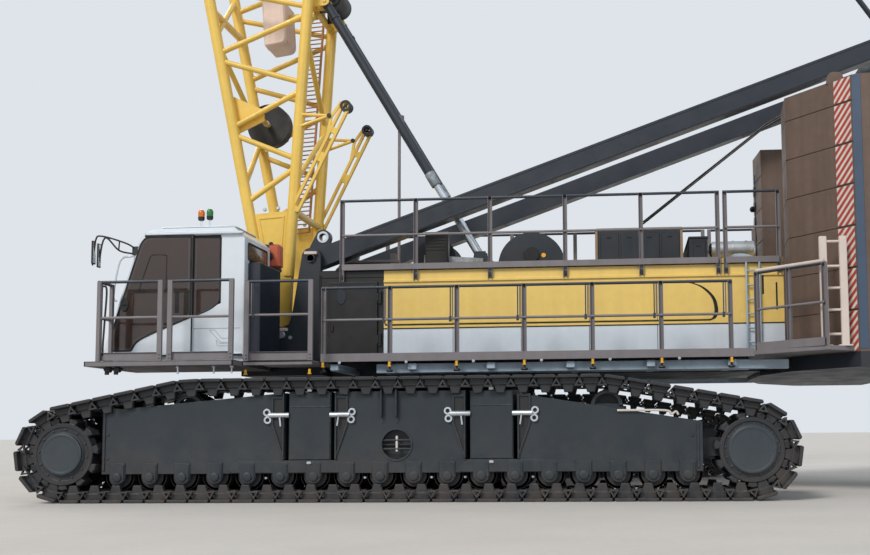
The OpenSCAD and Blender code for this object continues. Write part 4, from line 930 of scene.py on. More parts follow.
def build_frame_details():
    """Doubler plates, the round opening's rim and bars, twin slotted guides, end plates and the tan rod."""
    made = []
    for x0, x1 in ((0.62, 2.24), (-2.3, -0.7)):
        flat = rounded([(x0, 0.365), (x0 + 0.14, 0.52), (x1 - 0.14, 0.52), (x1, 0.365)], 0.10, 5)
        made.append(plate(flat, FRAME_Y, FRAME_Y + 0.010, bevel=0.004))
    rim = [
        (-0.004, HOLE_R), (-0.004, HOLE_R + 0.022), (0.012, HOLE_R + 0.020), (0.012, HOLE_R), (-0.004, HOLE_R)
    ]
    made.append(turned(rim, (HOLE_X, FRAME_Y, HOLE_Z), sides=48))
    made += [
        bars((HOLE_X - 0.19, FRAME_Y - 0.03, z), (HOLE_X + 0.19, FRAME_Y - 0.03, z), 0.014, 10)
        for z in (0.655, 0.765)
    ]
    for x in (0.03, 0.22):
        made.append(boxes((x, FRAME_Y, 1.05), (x + 0.022, FRAME_Y + 0.07, 1.40), 0.004))
        made.append(disc((x + 0.01, FRAME_Y, 0.99), (0, 1, 0), 0.016, 0.012, 0.002, 12))
    made.append(boxes((AXLE_X - 0.53, FRAME_Y - 0.01, 0.40), (AXLE_X - 0.50, FRAME_Y + 0.016, 1.17), 0.005))
    made.append(boxes((-AXLE_X + 0.63, FRAME_Y - 0.01, 0.40), (-AXLE_X + 0.66, FRAME_Y + 0.016, 0.96), 0.005))
    for x in CARRIER_X:
        t = np.linspace(0, math.pi, 17)
        outer = np.column_stack([x + 0.20 * np.cos(t), 1.17 + 0.20 * np.sin(t)])
        inner = np.column_stack([x + 0.15 * np.cos(t), 1.17 + 0.15 * np.sin(t)])
        hump = np.vstack([outer, inner[::-1]])
        made += [plate(hump, y, y + 0.06, bevel=0.006) for y in (FRAME_Y - 0.12, FRAME_Y - 0.62)]
        foot = [(x - 0.26, 0.98), (x - 0.20, 1.2), (x + 0.20, 1.2), (x + 0.26, 0.98)]
        made.append(plate(foot, FRAME_Y - 0.13, FRAME_Y - 0.09, bevel=0.005))
    put("track_frame_details", both(joined(*made)), DARK_PAINT, "undercarriage")
    bolt_x = AXLE_X - 0.56
    heads = bolts(
        on_left_frame([bolt_x, bolt_x, -AXLE_X + 0.71, -AXLE_X + 0.71], [0.86, 0.56, 0.80, 0.50], -0.02),
        (0, 1, 0), 0.026, 0.028
    )
    put("yoke_bolts", both(heads), WHEEL_STEEL, "undercarriage")
    rod = [(-2.72, 1.11), (-3.30, 1.105), (-3.38, 1.06), (-3.44, 1.09), (-3.47, 1.05)]
    path = smooth_path([(x, FRAME_Y + 0.03, z) for x, z in rod], 5)
    put("tensioning_rods", both(pipe(path, 0.014, 10)), PALE_STRIPE, "undercarriage")
    light = [boxes((HOLE_X - 0.012, FRAME_Y - 0.05, 0.62), (HOLE_X + 0.016, FRAME_Y - 0.02, 0.82), 0.006)]
    light += [box_at((x, FRAME_Y - 0.12, 0.42), (0.02, 0.012, 0.11), 0.003) for x in (-0.30, 0.95)]
    put("frame_straps", both(joined(*light)), PALE_STRIPE, "undercarriage")
    turntable = [disc((0, 0, 1.475), Z_AXIS, 1.36, 0.03, 0.006, 96)]
    a = np.arange(60) * 2 * math.pi / 60
    spots = np.stack([1.30 * np.cos(a), 1.30 * np.sin(a), np.full(60, 1.49)], -1)
    shape = joined(*turntable, bolts(spots, (0, 0, 1), 0.02, 0.02))
    put("slew_ring_bolts", shape, RING_STEEL, "undercarriage")


build_tracks()
build_wheels()
build_roller_covers()
build_beam_locks()
build_frame_details()


# Guard rails

POST_W, POST_D = 0.064, 0.045
RAIL_R = 0.021


def upright(height):
    """A rail post: a folded channel, open at the back."""
    w, d, t = POST_W / 2, POST_D / 2, 0.007
    fold = [(-w, d), (w, d), (w, -d), (w - t, -d), (w - t, d - t), (-w + t, d - t), (-w + t, -d), (-w, -d)]
    return plate(fold, 0.0, height, along="z", bevel=0.0015)


def run_frames(points):
    """Matrices at the posts, x along the run, y to its outer side."""
    points = np.asarray(points, float)
    along = unit(np.gradient(points[:, :2], axis=0))
    x = np.column_stack([along, np.zeros(len(along))])
    out = np.column_stack([-along[:, 1], along[:, 0], np.zeros(len(along))])
    return frames(points, x, out, Z_AXIS)


def fence(points, height, mid, toe=(0.01, 0.11), foot=0.10, latched=False):
    """A guard rail along points: posts, dark top rail, middle rail and toe board, and in a rail of loose bays
    the upright frame tube, its rod and the latch beside each next post. Returns the shapes by finish."""
    points = np.asarray(points, float)
    places = run_frames(points)
    up = lambda z: points + [0, 0, z]
    posts = repeated(upright(height - 0.01), places)
    side = places[:, :3, 1]
    lap = unit(points[1:] - points[:-1]) * 0.03
    top = bars(up(height - RAIL_R)[:-1] - lap, up(height - RAIL_R)[1:] + lap, RAIL_R, 12)
    middle = bars(up(mid)[:-1], up(mid)[1:], RAIL_R * 0.9, 12)
    boards = []
    for a, b, s in zip(points[:-1], points[1:], side[:-1]) if toe else ():
        n = s[:2] * 0.006
        ring = np.array([a[:2] - n, b[:2] - n, b[:2] + n, a[:2] + n]) - s[:2] * 0.026
        boards.append(plate(ring, a[2] + toe[0], a[2] + toe[1], along="z", bevel=0.002))
        lip = np.array([a[:2], b[:2], b[:2] - s[:2] * 0.03, a[:2] - s[:2] * 0.03])
        boards.append(plate(lip, a[2] + toe[1] - 0.006, a[2] + toe[1], along="z", bevel=0.001))
    low = np.concatenate([up(foot * 0.4), up(foot * 0.9)]) + np.tile(side, (2, 1)) * (POST_D / 2)
    parts = {"posts": joined(posts, middle, *boards, bolts(low, side[0], 0.010, 0.012)), "top": top}
    if latched:
        beside = points[1:] - unit(points[1:] - points[:-1]) * 0.062
        further = beside - unit(points[1:] - points[:-1]) * 0.030
        over = [0, 0, height - RAIL_R]
        parts["posts"] = joined(parts["posts"], bars(beside + [0, 0, mid], beside + over, 0.010, 8))
        latch = repeated(boxes((-0.018, -0.02, -0.045), (0.018, 0.02, 0.03), 0.005), further + [0, 0, mid])
        parts["top"] = joined(top, bars(further + [0, 0, mid], further + over, 0.009, 8), latch)
    return parts


def rails(name, runs, stands_for=(), clips=True, latched=False, sides=both):
    """Puts several guard rails as one piece of each finish, with the yellow clips that hold the lifted
    posts."""
    made = [fence(*run, latched=latched) for run in runs]
    put(name + "_posts", sides(joined(*[m["posts"] for m in made])), RAIL_PAINT, "upper", stands_for)
    put(name + "_tops", sides(joined(*[m["top"] for m in made])), RAIL_TOP, "upper")
    if clips:
        at = np.concatenate([np.asarray(r[0], float) for r in runs])
        clip = joined(
            box_at((0, 0.028, -0.15), (0.034, 0.02, 0.06), 0.006),
            box_at((0, 0.024, -0.185), (0.05, 0.04, 0.018), 0.005),
        )
        put(name + "_clips", sides(repeated(clip, at)), GRIP, "upper")


WALK_Y, WALK_Z, WALK_REAR = 2.40, 1.98, -4.60
STEP_Z, STEP_Y = 1.87, 2.75
HOUSE_Y, HOUSE_REAR, HOUSE_FRONT, BLACK_FRONT = 1.55, -5.14, 0.77, 1.76
DECK_Z, BAND_Z, BAND_LOW, PLATFORM_TOP = 3.28, 2.50, 2.415, 1.97


def build_walkways():
    """Grated walkways on a pale side frame, with brackets, feet under the posts, and their rails."""
    x = np.arange(WALK_REAR + 0.02, 1.47, 0.034)
    slats = boxes((-0.0025, HOUSE_Y + 0.02, WALK_Z - 0.03), (0.0025, WALK_Y - 0.03, WALK_Z), 0.001)
    slats = repeated(slats, np.column_stack([x, 0 * x, 0 * x]))
    y = np.arange(HOUSE_Y + 0.05, WALK_Y - 0.03, 0.10)
    rods = boxes((WALK_REAR, -0.003, WALK_Z - 0.012), (1.48, 0.003, WALK_Z - 0.002), 0.001)
    rods = repeated(rods, np.column_stack([0 * y, y, 0 * y]))
    put("walkway_grating", both(joined(slats, rods)), GRATING, "upper", ("walkways",))
    out, back, low, t = WALK_Y + 0.03, WALK_Y - 0.03, WALK_Z - 0.115, 0.015
    channel = [
        (out, WALK_Z), (out, low), (back, low), (back, low + t), (out - t, low + t),
        (out - t, WALK_Z - t), (back, WALK_Z - t), (back, WALK_Z),
    ]
    edge = [plate(channel, WALK_REAR, 1.48, along="x", bevel=0.002)]
    edge.append(boxes((1.50, 1.50, STEP_Z - 0.02), (2.48, STEP_Y + 0.03, STEP_Z), 0.004))
    edge.append(boxes((1.50, STEP_Y, STEP_Z - 0.06), (2.48, STEP_Y + 0.03, STEP_Z), 0.004))
    put("walkway_edges", both(joined(*edge)), RAIL_PAINT, "upper")
    beam = [boxes((-5.08, 2.20, 1.70), (HOUSE_FRONT - 0.06, 2.28, 1.835), 0.01)]
    beam.append(boxes((WALK_REAR, 1.60, 1.72), (HOUSE_FRONT - 0.06, 1.68, 1.84), 0.01))
    beam += [boxes((x - 0.06, 1.06, 1.74), (x + 0.06, 2.36, 1.835), 0.01) for x in 1.30 - 1.12 * np.arange(6)]
    # The side frame's pale blue-grey is white paint with painted shade.
    put("side_frame", both(joined(*beam)), SHADED_WHITE_PAINT, "upper")
    posts = [(1.445 - 0.955 * k, WALK_Y, WALK_Z) for k in range(7)]
    foot = joined(
        turned([(-0.16, 0.016), (-0.23, 0.016)], axis=Z_AXIS, sides=10),
        turned([(-0.225, 0.02), (-0.235, 0.045), (-0.25, 0.05), (-0.265, 0.04)], axis=Z_AXIS, sides=14),
        boxes((-0.03, -0.02, -0.17), (0.03, 0.02, -0.11), 0.005),
    )
    put("walkway_feet", both(repeated(foot, posts)), WHEEL_STEEL, "upper")
    x = 1.445 - 0.955 * np.arange(6) - 0.24
    studs = bolts(np.column_stack([x, 0 * x + WALK_Y + 0.03, 0 * x + WALK_Z - 0.13]), Y_AXIS, 0.014, 0.014)
    put("walkway_studs", both(studs), PIN_STEEL, "upper")
    rails("walkway_rail", [(posts, 0.96, 0.48, None)], stands_for=("walkway_rails",), latched=True)
    step_run = [(1.535, STEP_Y - 0.004, STEP_Z), (2.445, STEP_Y - 0.004, STEP_Z)]
    rails("step_rail", [(step_run, 1.14, 0.645, (0.01, 0.13))], latched=True)


DOOR_REAR = -4.14


def build_house():
    """One long raised door panel on the yellow band, its rear end cut round, in a black border; seams,
    vents."""
    low, high = BAND_LOW + 0.055, 3.02
    outline = [
        (HOUSE_FRONT - 0.03, low), (HOUSE_FRONT - 0.03, high), (-3.86, high),
        (DOOR_REAR + 0.03, high - 0.22), (DOOR_REAR, low + 0.12), (DOOR_REAR + 0.04, low),
    ]
    panel = rounded(outline, (0.02, 0.02, 0.22, 0.14, 0.06, 0.05), 6)
    shape = both(plate(panel, HOUSE_Y - 0.004, HOUSE_Y + 0.018, bevel=0.008))
    put("house_doors", shape, HOUSE_YELLOW, "upper")
    strip = boxes(
        (HOUSE_REAR + 0.002, HOUSE_Y - 0.004, BAND_LOW),
        (HOUSE_FRONT - 0.002, HOUSE_Y + 0.006, BAND_Z + 0.01), 0.002
    )
    put("house_band", both(strip), HOUSE_YELLOW, "upper")
    seams = [frame_plate(inset_outline(panel, -0.016), panel, HOUSE_Y - 0.004, HOUSE_Y + 0.012)]
    seams.append(plate(panel - [0.05, 0.0], HOUSE_Y - 0.004, HOUSE_Y + 0.010, bevel=0.002))
    x = np.array([-0.277, -1.295, -2.302, -3.30])
    lines = boxes((-0.004, HOUSE_Y + 0.015, low + 0.005), (0.004, HOUSE_Y + 0.0185, high - 0.005), 0.0005)
    seams.append(repeated(lines, np.column_stack([x, 0 * x, 0 * x])))
    lines = boxes((-0.004, HOUSE_Y - 0.004, PLATFORM_TOP), (0.004, HOUSE_Y + 0.002, BAND_LOW), 0.0005)
    seams.append(repeated(lines, np.column_stack([x, 0 * x, 0 * x])))
    seam = boxes(
        (HOUSE_REAR, HOUSE_Y - 0.004, BAND_LOW - 0.014), (HOUSE_FRONT, HOUSE_Y + 0.008, BAND_LOW), 0.002
    )
    seams.append(seam)
    slots = [boxes((x - 0.012, HOUSE_Y - 0.004, z), (x + 0.012, HOUSE_Y + 0.006, z + h), 0.004)
             for x, z, h in ((-4.84, 2.83, 0.28), (-5.035, 2.60, 0.40))]
    put("house_seams", both(joined(*seams, *slots)), RUBBER, "upper")
    ledge = [
        (HOUSE_Y - 0.01, 3.10), (HOUSE_Y + 0.024, 3.105), (HOUSE_Y + 0.024, 3.135), (HOUSE_Y - 0.01, 3.15)
    ]
    shape = both(plate(ledge, HOUSE_REAR, HOUSE_FRONT, along="x", bevel=0.003))
    put("house_ledge", shape, HOUSE_YELLOW, "upper")
    z = np.linspace(2.62, 3.02, 9)
    slat = boxes((HOUSE_REAR - 0.012, -1.2, 0), (HOUSE_REAR + 0.01, 1.2, 0.02), 0.003)
    put("rear_louvres", repeated(slat, np.column_stack([0 * z, 0 * z, z])), BLACK_PAINT, "upper")
    uprights = [bars((x, HOUSE_Y + 0.05, 2.02), (x, HOUSE_Y + 0.05, 3.30), 0.016, 10) for x in (-4.60, -4.79)]
    rungs = np.arange(2.12, 3.30, 0.21)[:, None]
    rung = bars(np.hstack([0 * rungs - 4.60, 0 * rungs + HOUSE_Y + 0.05, rungs]),
                np.hstack([0 * rungs - 4.79, 0 * rungs + HOUSE_Y + 0.05, rungs]), 0.012, 8)
    feet = [boxes((x - 0.01, HOUSE_Y - 0.002, z), (x + 0.01, HOUSE_Y + 0.05, z + 0.03), 0.003)
            for x in (-4.60, -4.79) for z in (2.2, 3.1)]
    # The ladder's pale blue-grey is white paint with painted shade.
    put("house_ladder", both(joined(*uprights, rung, *feet)), SHADED_WHITE_PAINT, "upper")


def build_black_front():
    """Edges of the dark cabinets: seams, the door's rim, its oval hatch and its handle."""
    made = []
    for y in (HOUSE_Y, -HOUSE_Y):
        s = 1 if y > 0 else -1
        made.append(box_at((HOUSE_FRONT + 0.006, y, 2.62), (0.012, 0.012, 1.28), 0.003))
        made.append(box_at((BLACK_FRONT - 0.02, y + s * 0.002, 2.6), (0.03, 0.02, 1.26), 0.005))
        made.append(box_at((1.265, y, 3.19), (0.96, 0.016, 0.012), 0.003))
        made.append(box_at((1.265, y, 2.00), (0.96, 0.016, 0.02), 0.003))
    put("front_seams", joined(*made), RUBBER, "upper")
    oval = np.array([1.411, 2.895]) + np.array([0.075, 0.115]) * circle(28)
    put("front_hatch", plate(oval, HOUSE_Y + 0.036, HOUSE_Y + 0.046, bevel=0.004), NAVY_PAINT, "house_door")
    frame = rounded([(0.865, 2.015), (0.865, 3.115), (1.595, 3.115), (1.595, 2.015)], 0.05, 5)
    rim = frame_plate(frame, inset_outline(frame, 0.03), HOUSE_Y + 0.036, HOUSE_Y + 0.042)
    put("front_door_frame", rim, BLACK_PAINT, "house_door")
    shape = box_at((1.54, HOUSE_Y + 0.05, 2.42), (0.03, 0.028, 0.10), 0.008)
    put("front_door_handle", shape, BLACK_PLASTIC, "house_door")


def build_deck():
    """Rails round the roof, panels on its boxes, the cover beside the winch, the valve cabinet and a
    support."""
    y, low, toe = HOUSE_Y + POST_W / 2, 3.12, (0.17, 0.26)
    posts = [(1.40 - 1.12 * k, y, low) for k in range(6)]
    rear = [(-4.31, y, low), (HOUSE_REAR + 0.06, y, low)]
    runs = [(posts, 1.25, 0.70, toe), (rear, 1.25, 0.70, toe)]
    rails("deck_rail", runs, stands_for=("deck_rails",), clips=False)
    foot = boxes((-0.022, POST_D / 2, 0.05), (0.022, POST_D / 2 + 0.012, 0.10), 0.004)
    put("deck_rail_feet", both(repeated(foot, posts + rear)), BLACK_PLASTIC, "upper")
    edge = boxes((HOUSE_REAR, HOUSE_Y - 0.012, DECK_Z), (BLACK_FRONT, HOUSE_Y, DECK_Z + 0.02), 0.003)
    put("roof_edges", both(edge), RUBBER, "upper")
    panels, trims = [], []
    for x0, x1, top, count in ((-3.71, -2.41, 3.965, 4), (-4.10, -3.82, 3.81, 1)):
        panels.append(boxes((x0 - 0.012, -0.915, top - 0.03), (x1 + 0.012, 0.915, top + 0.004), 0.008))
        wide = (x1 - x0 - 0.06) / count
        for a in x0 + 0.03 + wide * np.arange(count):
            flat = [
                (a, DECK_Z + 0.1), (a, top - 0.08), (a + wide - 0.03, top - 0.08),
                (a + wide - 0.03, DECK_Z + 0.1)
            ]
            panels += [plate(flat, s * 0.898, s * 0.908, bevel=0.006) for s in (1, -1)]
            trims.append(box_at((a + wide / 2, 0.912, top - 0.14), (0.07, 0.012, 0.022), 0.004))
    put("deck_box_panels", joined(*panels), PLATFORM_PAINT, "upper")
    put("deck_box_handles", both(joined(*trims)), BLACK_PLASTIC, "upper")
    corner = [boxes((x - 0.02, 0.90, DECK_Z), (x + 0.02, 0.925, 3.95), 0.004) for x in (-2.405, -3.705)]
    put("deck_box_corners", both(joined(*corner)), CLAY_PAINT, "upper")
    cover = [(0.32, DECK_Z + 0.24), (0.32, DECK_Z + 0.37), (-0.62, DECK_Z + 0.30), (-0.62, DECK_Z + 0.24)]
    put("winch_cover", both(plate(cover, 0.62, 0.70, bevel=0.006)), ZINC, "upper")
    z = DECK_Z + 0.42 + 0.05 * np.arange(5)
    louvre = boxes((-0.05, 0.815, 0), (0.25, 0.828, 0.03), 0.004)
    shift = np.column_stack([0 * z, 0 * z, z])
    body = boxes((-0.08, 0.62, DECK_Z), (0.28, 0.82, DECK_Z + 0.70), 0.02)
    put("valve_cabinet", joined(body, repeated(louvre, shift)), BLACK_PAINT, "upper")
    lid = boxes((-0.09, 0.61, DECK_Z + 0.69), (0.29, 0.83, DECK_Z + 0.71), 0.005)
    # The lid's pale blue-grey is white paint with painted shade.
    put("valve_cabinet_lid", lid, SHADED_WHITE_PAINT, "upper")
    pegs = [boxes((0.76, 0.60, DECK_Z), (0.86, 0.72, DECK_Z + 0.40), 0.008)]
    pegs.append(boxes((0.74, 0.58, DECK_Z + 0.26), (1.70, 0.74, DECK_Z + 0.30), 0.006))
    put("pipe_supports", both(joined(*pegs)), RAIL_PAINT, "upper")
    put("valve_block", boxes((1.06, -0.55, DECK_Z), (1.72, 0.55, DECK_Z + 0.30), 0.02), BLACK_PAINT, "upper")


SILENCER_AT = (-4.83, 0.70, 3.63)


def build_exhaust():
    """Silencer lying along the rear of the roof with bands and end caps, its bent tail pipe, and a low
    hood."""
    x0, y0, z0 = SILENCER_AT
    can = [(0.0, 0.10), (0.02, 0.13), (0.66, 0.13), (0.68, 0.10), (0.70, 0.05)]
    band = [(-0.015, 0.134), (-0.015, 0.140), (0.015, 0.140), (0.015, 0.134), (-0.015, 0.134)]
    made = [turned(can, SILENCER_AT, (1, 0, 0), 32)]
    made += [turned(band, (x0 + dx, y0, z0), (1, 0, 0), 32) for dx in (0.13, 0.33, 0.55)]
    bend = [(0.69, 0, 0), (0.78, 0, 0), (0.83, 0.02, 0.04), (0.85, 0.04, 0.13), (0.85, 0.04, 0.20)]
    made.append(pipe(smooth_path(np.array(bend) + SILENCER_AT, 6), 0.05, 14))
    made.append(bars((x0 + 0.23, y0, DECK_Z), (x0 + 0.23, y0, z0 - 0.10), 0.06, 16))
    put("silencer", joined(*made), SILVER, "upper", ("exhaust",))
    t = np.linspace(0, math.pi, 17)
    hood = np.column_stack([-4.53 + 0.28 * np.cos(t), DECK_Z + 0.17 * np.sin(t)])
    # The hood's pale blue-grey is white paint with painted shade.
    put("intake_hood", both(plate(hood, 1.10, 1.46, bevel=0.012)), SHADED_WHITE_PAINT, "upper")
    cap = turned([(0, 0.06), (0.06, 0.062), (0.075, 0.05), (0.085, 0.02)], (-4.24, 1.0, DECK_Z), Z_AXIS, 20)
    rod = bars((-4.33, HOUSE_Y - 0.05, DECK_Z), (-4.33, HOUSE_Y - 0.05, DECK_Z + 0.46), 0.014, 8)
    put("filler_caps", both(joined(cap, rod)), BLACK_PLASTIC, "upper")


build_walkways()
build_house()
build_black_front()
build_deck()
build_exhaust()


# Cab

CAB_SIDES, CAB_REAR, CAB_TOP = (1.50, 2.60), 2.54, 3.80
DOOR_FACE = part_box("cab_door")[1][1]
SCREEN_FOOT, SCREEN_LEAN = (4.58, 2.07), math.radians(-17.42)


def pane(name, outline, corner, start, end, body, finish=None, seal=0.024):
    """A bonded pane from start to end across the machine, with a rubber seal a little prouder round its
    edge."""
    outer = rounded(outline, corner, 6)
    put(name, plate(inset_outline(outer, seal * 0.7), start, end, bevel=0.002), finish or CAB_GLASS, body)
    proud = 0.003 if end > start else -0.003
    put(name + "_seal", frame_plate(outer, inset_outline(outer, seal), start, end + proud), RUBBER, body)


def line_round(outline, wide, start, end):
    """A flat closed line of a width along an outline."""
    return frame_plate(outline, inset_outline(outline, wide), start, end)


def build_cab_glazing():
    """The dark panes that cover the left side up to the front edge and the far window, the door's handle and
    the lines of its sliding pane."""
    door = [
        (3.292, 3.672), (3.975, 3.684), (4.056, 3.586), (4.490, 2.20), (4.440, 2.035),
        (4.150, 2.035), (4.075, 2.175), (3.812, 2.297), (3.292, 2.505),
    ]
    corners = (0.02, 0.08, 0.05, 0.05, 0.03, 0.03, 0.12, 0.1, 0.01)
    pane("door_pane", door, corners, DOOR_FACE - 0.004, DOOR_FACE + 0.005, "cab_door")
    rear = [(2.893, 3.655), (3.289, 3.664), (3.289, 2.512), (3.030, 2.614), (2.888, 2.726)]
    at = CAB_SIDES[1]
    pane("side_pane", rear, (0.03, 0.01, 0.01, 0.10, 0.06), at - 0.006, at + 0.002, "upper", seal=0.014)
    far = [
        (3.35, 2.52), (3.35, 3.635), (3.955, 3.635), (4.015, 3.555), (4.43, 2.21), (4.405, 2.08),
        (4.18, 2.08), (4.12, 2.20), (4.01, 2.25), (3.74, 2.34),
    ]
    pane("far_pane", far, 0.05, CAB_SIDES[0] + 0.006, CAB_SIDES[0] - 0.004, "upper")
    slider = rounded(
        [(4.075, 2.89), (3.90, 3.42), (3.655, 3.415), (3.655, 2.89)], (0.02, 0.05, 0.03, 0.02), 5
    )
    lines = [line_round(slider, 0.013, DOOR_FACE + 0.004, DOOR_FACE + 0.008)]
    lines.append(boxes((3.31, DOOR_FACE + 0.004, 2.865), (4.20, DOOR_FACE + 0.007, 2.895), 0.001))
    lines += [
        boxes((x - 0.03, DOOR_FACE + 0.004, 2.575), (x + 0.03, DOOR_FACE + 0.007, 2.87), 0.001)
        for x in (3.50, 3.36)
    ]
    put("sliding_pane_lines", joined(*lines), RUBBER, "cab_door")
    oval = np.array([4.267, 2.706]) + np.array([0.062, 0.10]) * circle(28)
    shape = plate(oval, DOOR_FACE + 0.004, DOOR_FACE + 0.022, bevel=0.008)
    put("door_handle", shape, BLACK_PLASTIC, "cab_door")
    lever = boxes((4.23, DOOR_FACE + 0.02, 2.69), (4.31, DOOR_FACE + 0.03, 2.72), 0.004)
    put("door_lever", lever, BLACK_PAINT, "cab_door")
    seam = [boxes((3.285, DOOR_FACE - 0.03, 2.0), (3.292, DOOR_FACE + 0.002, 2.50), 0.001)]
    put("door_edge_seal", joined(*seam), RUBBER, "cab_door")
    edge = boxes((3.284, 2.612, 2.50), (3.2905, DOOR_FACE + 0.003, 3.69), 0.001)
    put("door_rear_edge", edge, CAB_GLASS, "cab_door")
    lip = boxes((3.288, DOOR_FACE - 0.004, 3.672), (3.99, DOOR_FACE + 0.007, 3.699), 0.002)
    put("door_top_line", lip, RUBBER, "cab_door")


def on_screen(shape):
    """A shape drawn upright in the plane X = 0 laid in the leaning windscreen."""
    c, s = math.cos(SCREEN_LEAN), math.sin(SCREEN_LEAN)
    x, z = SCREEN_FOOT
    return moved(shape, [[c, 0, s, x], [0, 1, 0, 0], [-s, 0, c, z], [0, 0, 0, 1]])


def build_cab_ends():
    """Windscreen with its wiper, the rear window, and the black line of the upper door runner."""
    outer = rounded([(1.545, 0.03), (1.545, 1.575), (2.555, 1.575), (2.555, 0.03)], 0.07, 5)
    inner = inset_outline(outer, 0.03)
    put("windscreen", on_screen(plate(inner, -0.006, 0.004, along="x", bevel=0.002)), CAB_GLASS, "upper")
    put("windscreen_seal", on_screen(frame_plate(outer, inner, -0.006, 0.008, along="x")), RUBBER, "upper")
    wiper = joined(
        bars((0.02, 1.75, 0.06), (0.035, 2.02, 0.72), 0.009, 8),
        boxes((0.004, 2.00, 0.30), (0.028, 2.025, 1.10), 0.004),
        turned([(-0.01, 0.03), (0.03, 0.03), (0.036, 0.02)], (0.0, 1.75, 0.06), (1, 0, 0), 16),
    )
    put("wiper", on_screen(wiper), BLACK_PLASTIC, "upper")
    rear = rounded([(1.62, 3.34), (1.62, 3.60), (2.48, 3.60), (2.48, 3.34)], 0.05, 5)
    inner = inset_outline(rear, 0.03)
    shape = plate(inner, CAB_REAR + 0.004, CAB_REAR - 0.003, along="x", bevel=0.002)
    put("rear_window", shape, AMBER_GLASS, "upper")
    seal = frame_plate(rear, inner, CAB_REAR + 0.004, CAB_REAR - 0.006, along="x")
    cabinet = boxes((2.36, 1.53, 1.90), (2.538, 2.46, 3.31), 0.012)
    put("cab_rear_cabinet", cabinet, NAVY_PAINT, "upper")
    runner = [
        boxes((2.888, 2.597, 3.655), (3.29, 2.606, 3.69), 0.002),
        boxes((2.56, 2.60, 1.955), (4.47, 2.656, 1.985), 0.004)
    ]
    put("cab_rear_seal", joined(seal, *runner), RUBBER, "upper")
    # The groove, the recess and the step on the lower rear panel are only thin lines of painted shadow in the
    # shaded white.
    y = CAB_SIDES[1]
    groove = boxes((2.590, y - 0.002, 2.349), (3.270, y + 0.003, 2.359), 0.001)
    recess = rounded(
        [(3.05, 2.335), (2.96, 2.335), (2.86, 2.215), (2.73, 2.215), (2.73, 2.15), (2.87, 2.15)], 0.02, 3
    )
    step = rounded([(2.945, 2.20), (2.89, 2.14), (2.74, 2.14), (2.74, 2.10), (2.92, 2.10)], 0.015, 3)
    marks = joined(
        groove, line_round(recess, 0.008, y - 0.002, y + 0.003), line_round(step, 0.006, y - 0.002, y + 0.003)
    )
    put("cab_press_line_shadows", marks, SHADED_WHITE_PAINT, "upper")


def build_cab_roof():
    """The roof's raised shell with a hatch, the two beacons on their stems and a small work lamp."""
    low, high = CAB_TOP - 0.01, CAB_TOP + 0.045
    shell = rounded([(2.70, 1.57), (3.86, 1.57), (3.86, 2.53), (2.70, 2.53)], 0.14, 6)
    hatch = rounded([(2.95, 1.78), (3.55, 1.78), (3.55, 2.32), (2.95, 2.32)], 0.08, 5)
    roof = joined(
        plate(shell, low, high, along="z", bevel=0.03),
        plate(hatch, high - 0.01, high + 0.02, along="z", bevel=0.01)
    )
    put("cab_roof_shell", roof, CAB_WHITE, "upper")
    stems, bases, y = [], [], 1.90
    ball = [(-0.02, 0.045), (0.03, 0.05), (0.06, 0.046), (0.085, 0.032), (0.095, 0.012)]
    for name, x, z, finish in (
        ("beacon_amber", 3.463, 4.115, AMBER_LENS), ("beacon_green", 3.332, 4.125, GREEN_LENS)
    ):
        put(name, turned(ball, (x, y, z), Z_AXIS, 24), finish, "upper")
        foot = [(-0.075, 0.030), (-0.065, 0.046), (-0.02, 0.05), (-0.018, 0.04)]
        bases.append(turned(foot, (x, y, z), Z_AXIS, 24))
        stems.append(bars((x, y, high - 0.01), (x, y, z - 0.07), 0.013, 10))
    bases.append(boxes((3.22, 1.85, high + 0.005), (3.40, 1.92, high + 0.03), 0.008))
    bases.append(boxes((3.18, 2.30, high), (3.34, 2.35, high + 0.03), 0.006))
    put("beacon_bases", joined(*bases), BLACK_PLASTIC, "upper")
    put("beacon_stems", joined(*stems), PIN_STEEL, "upper")


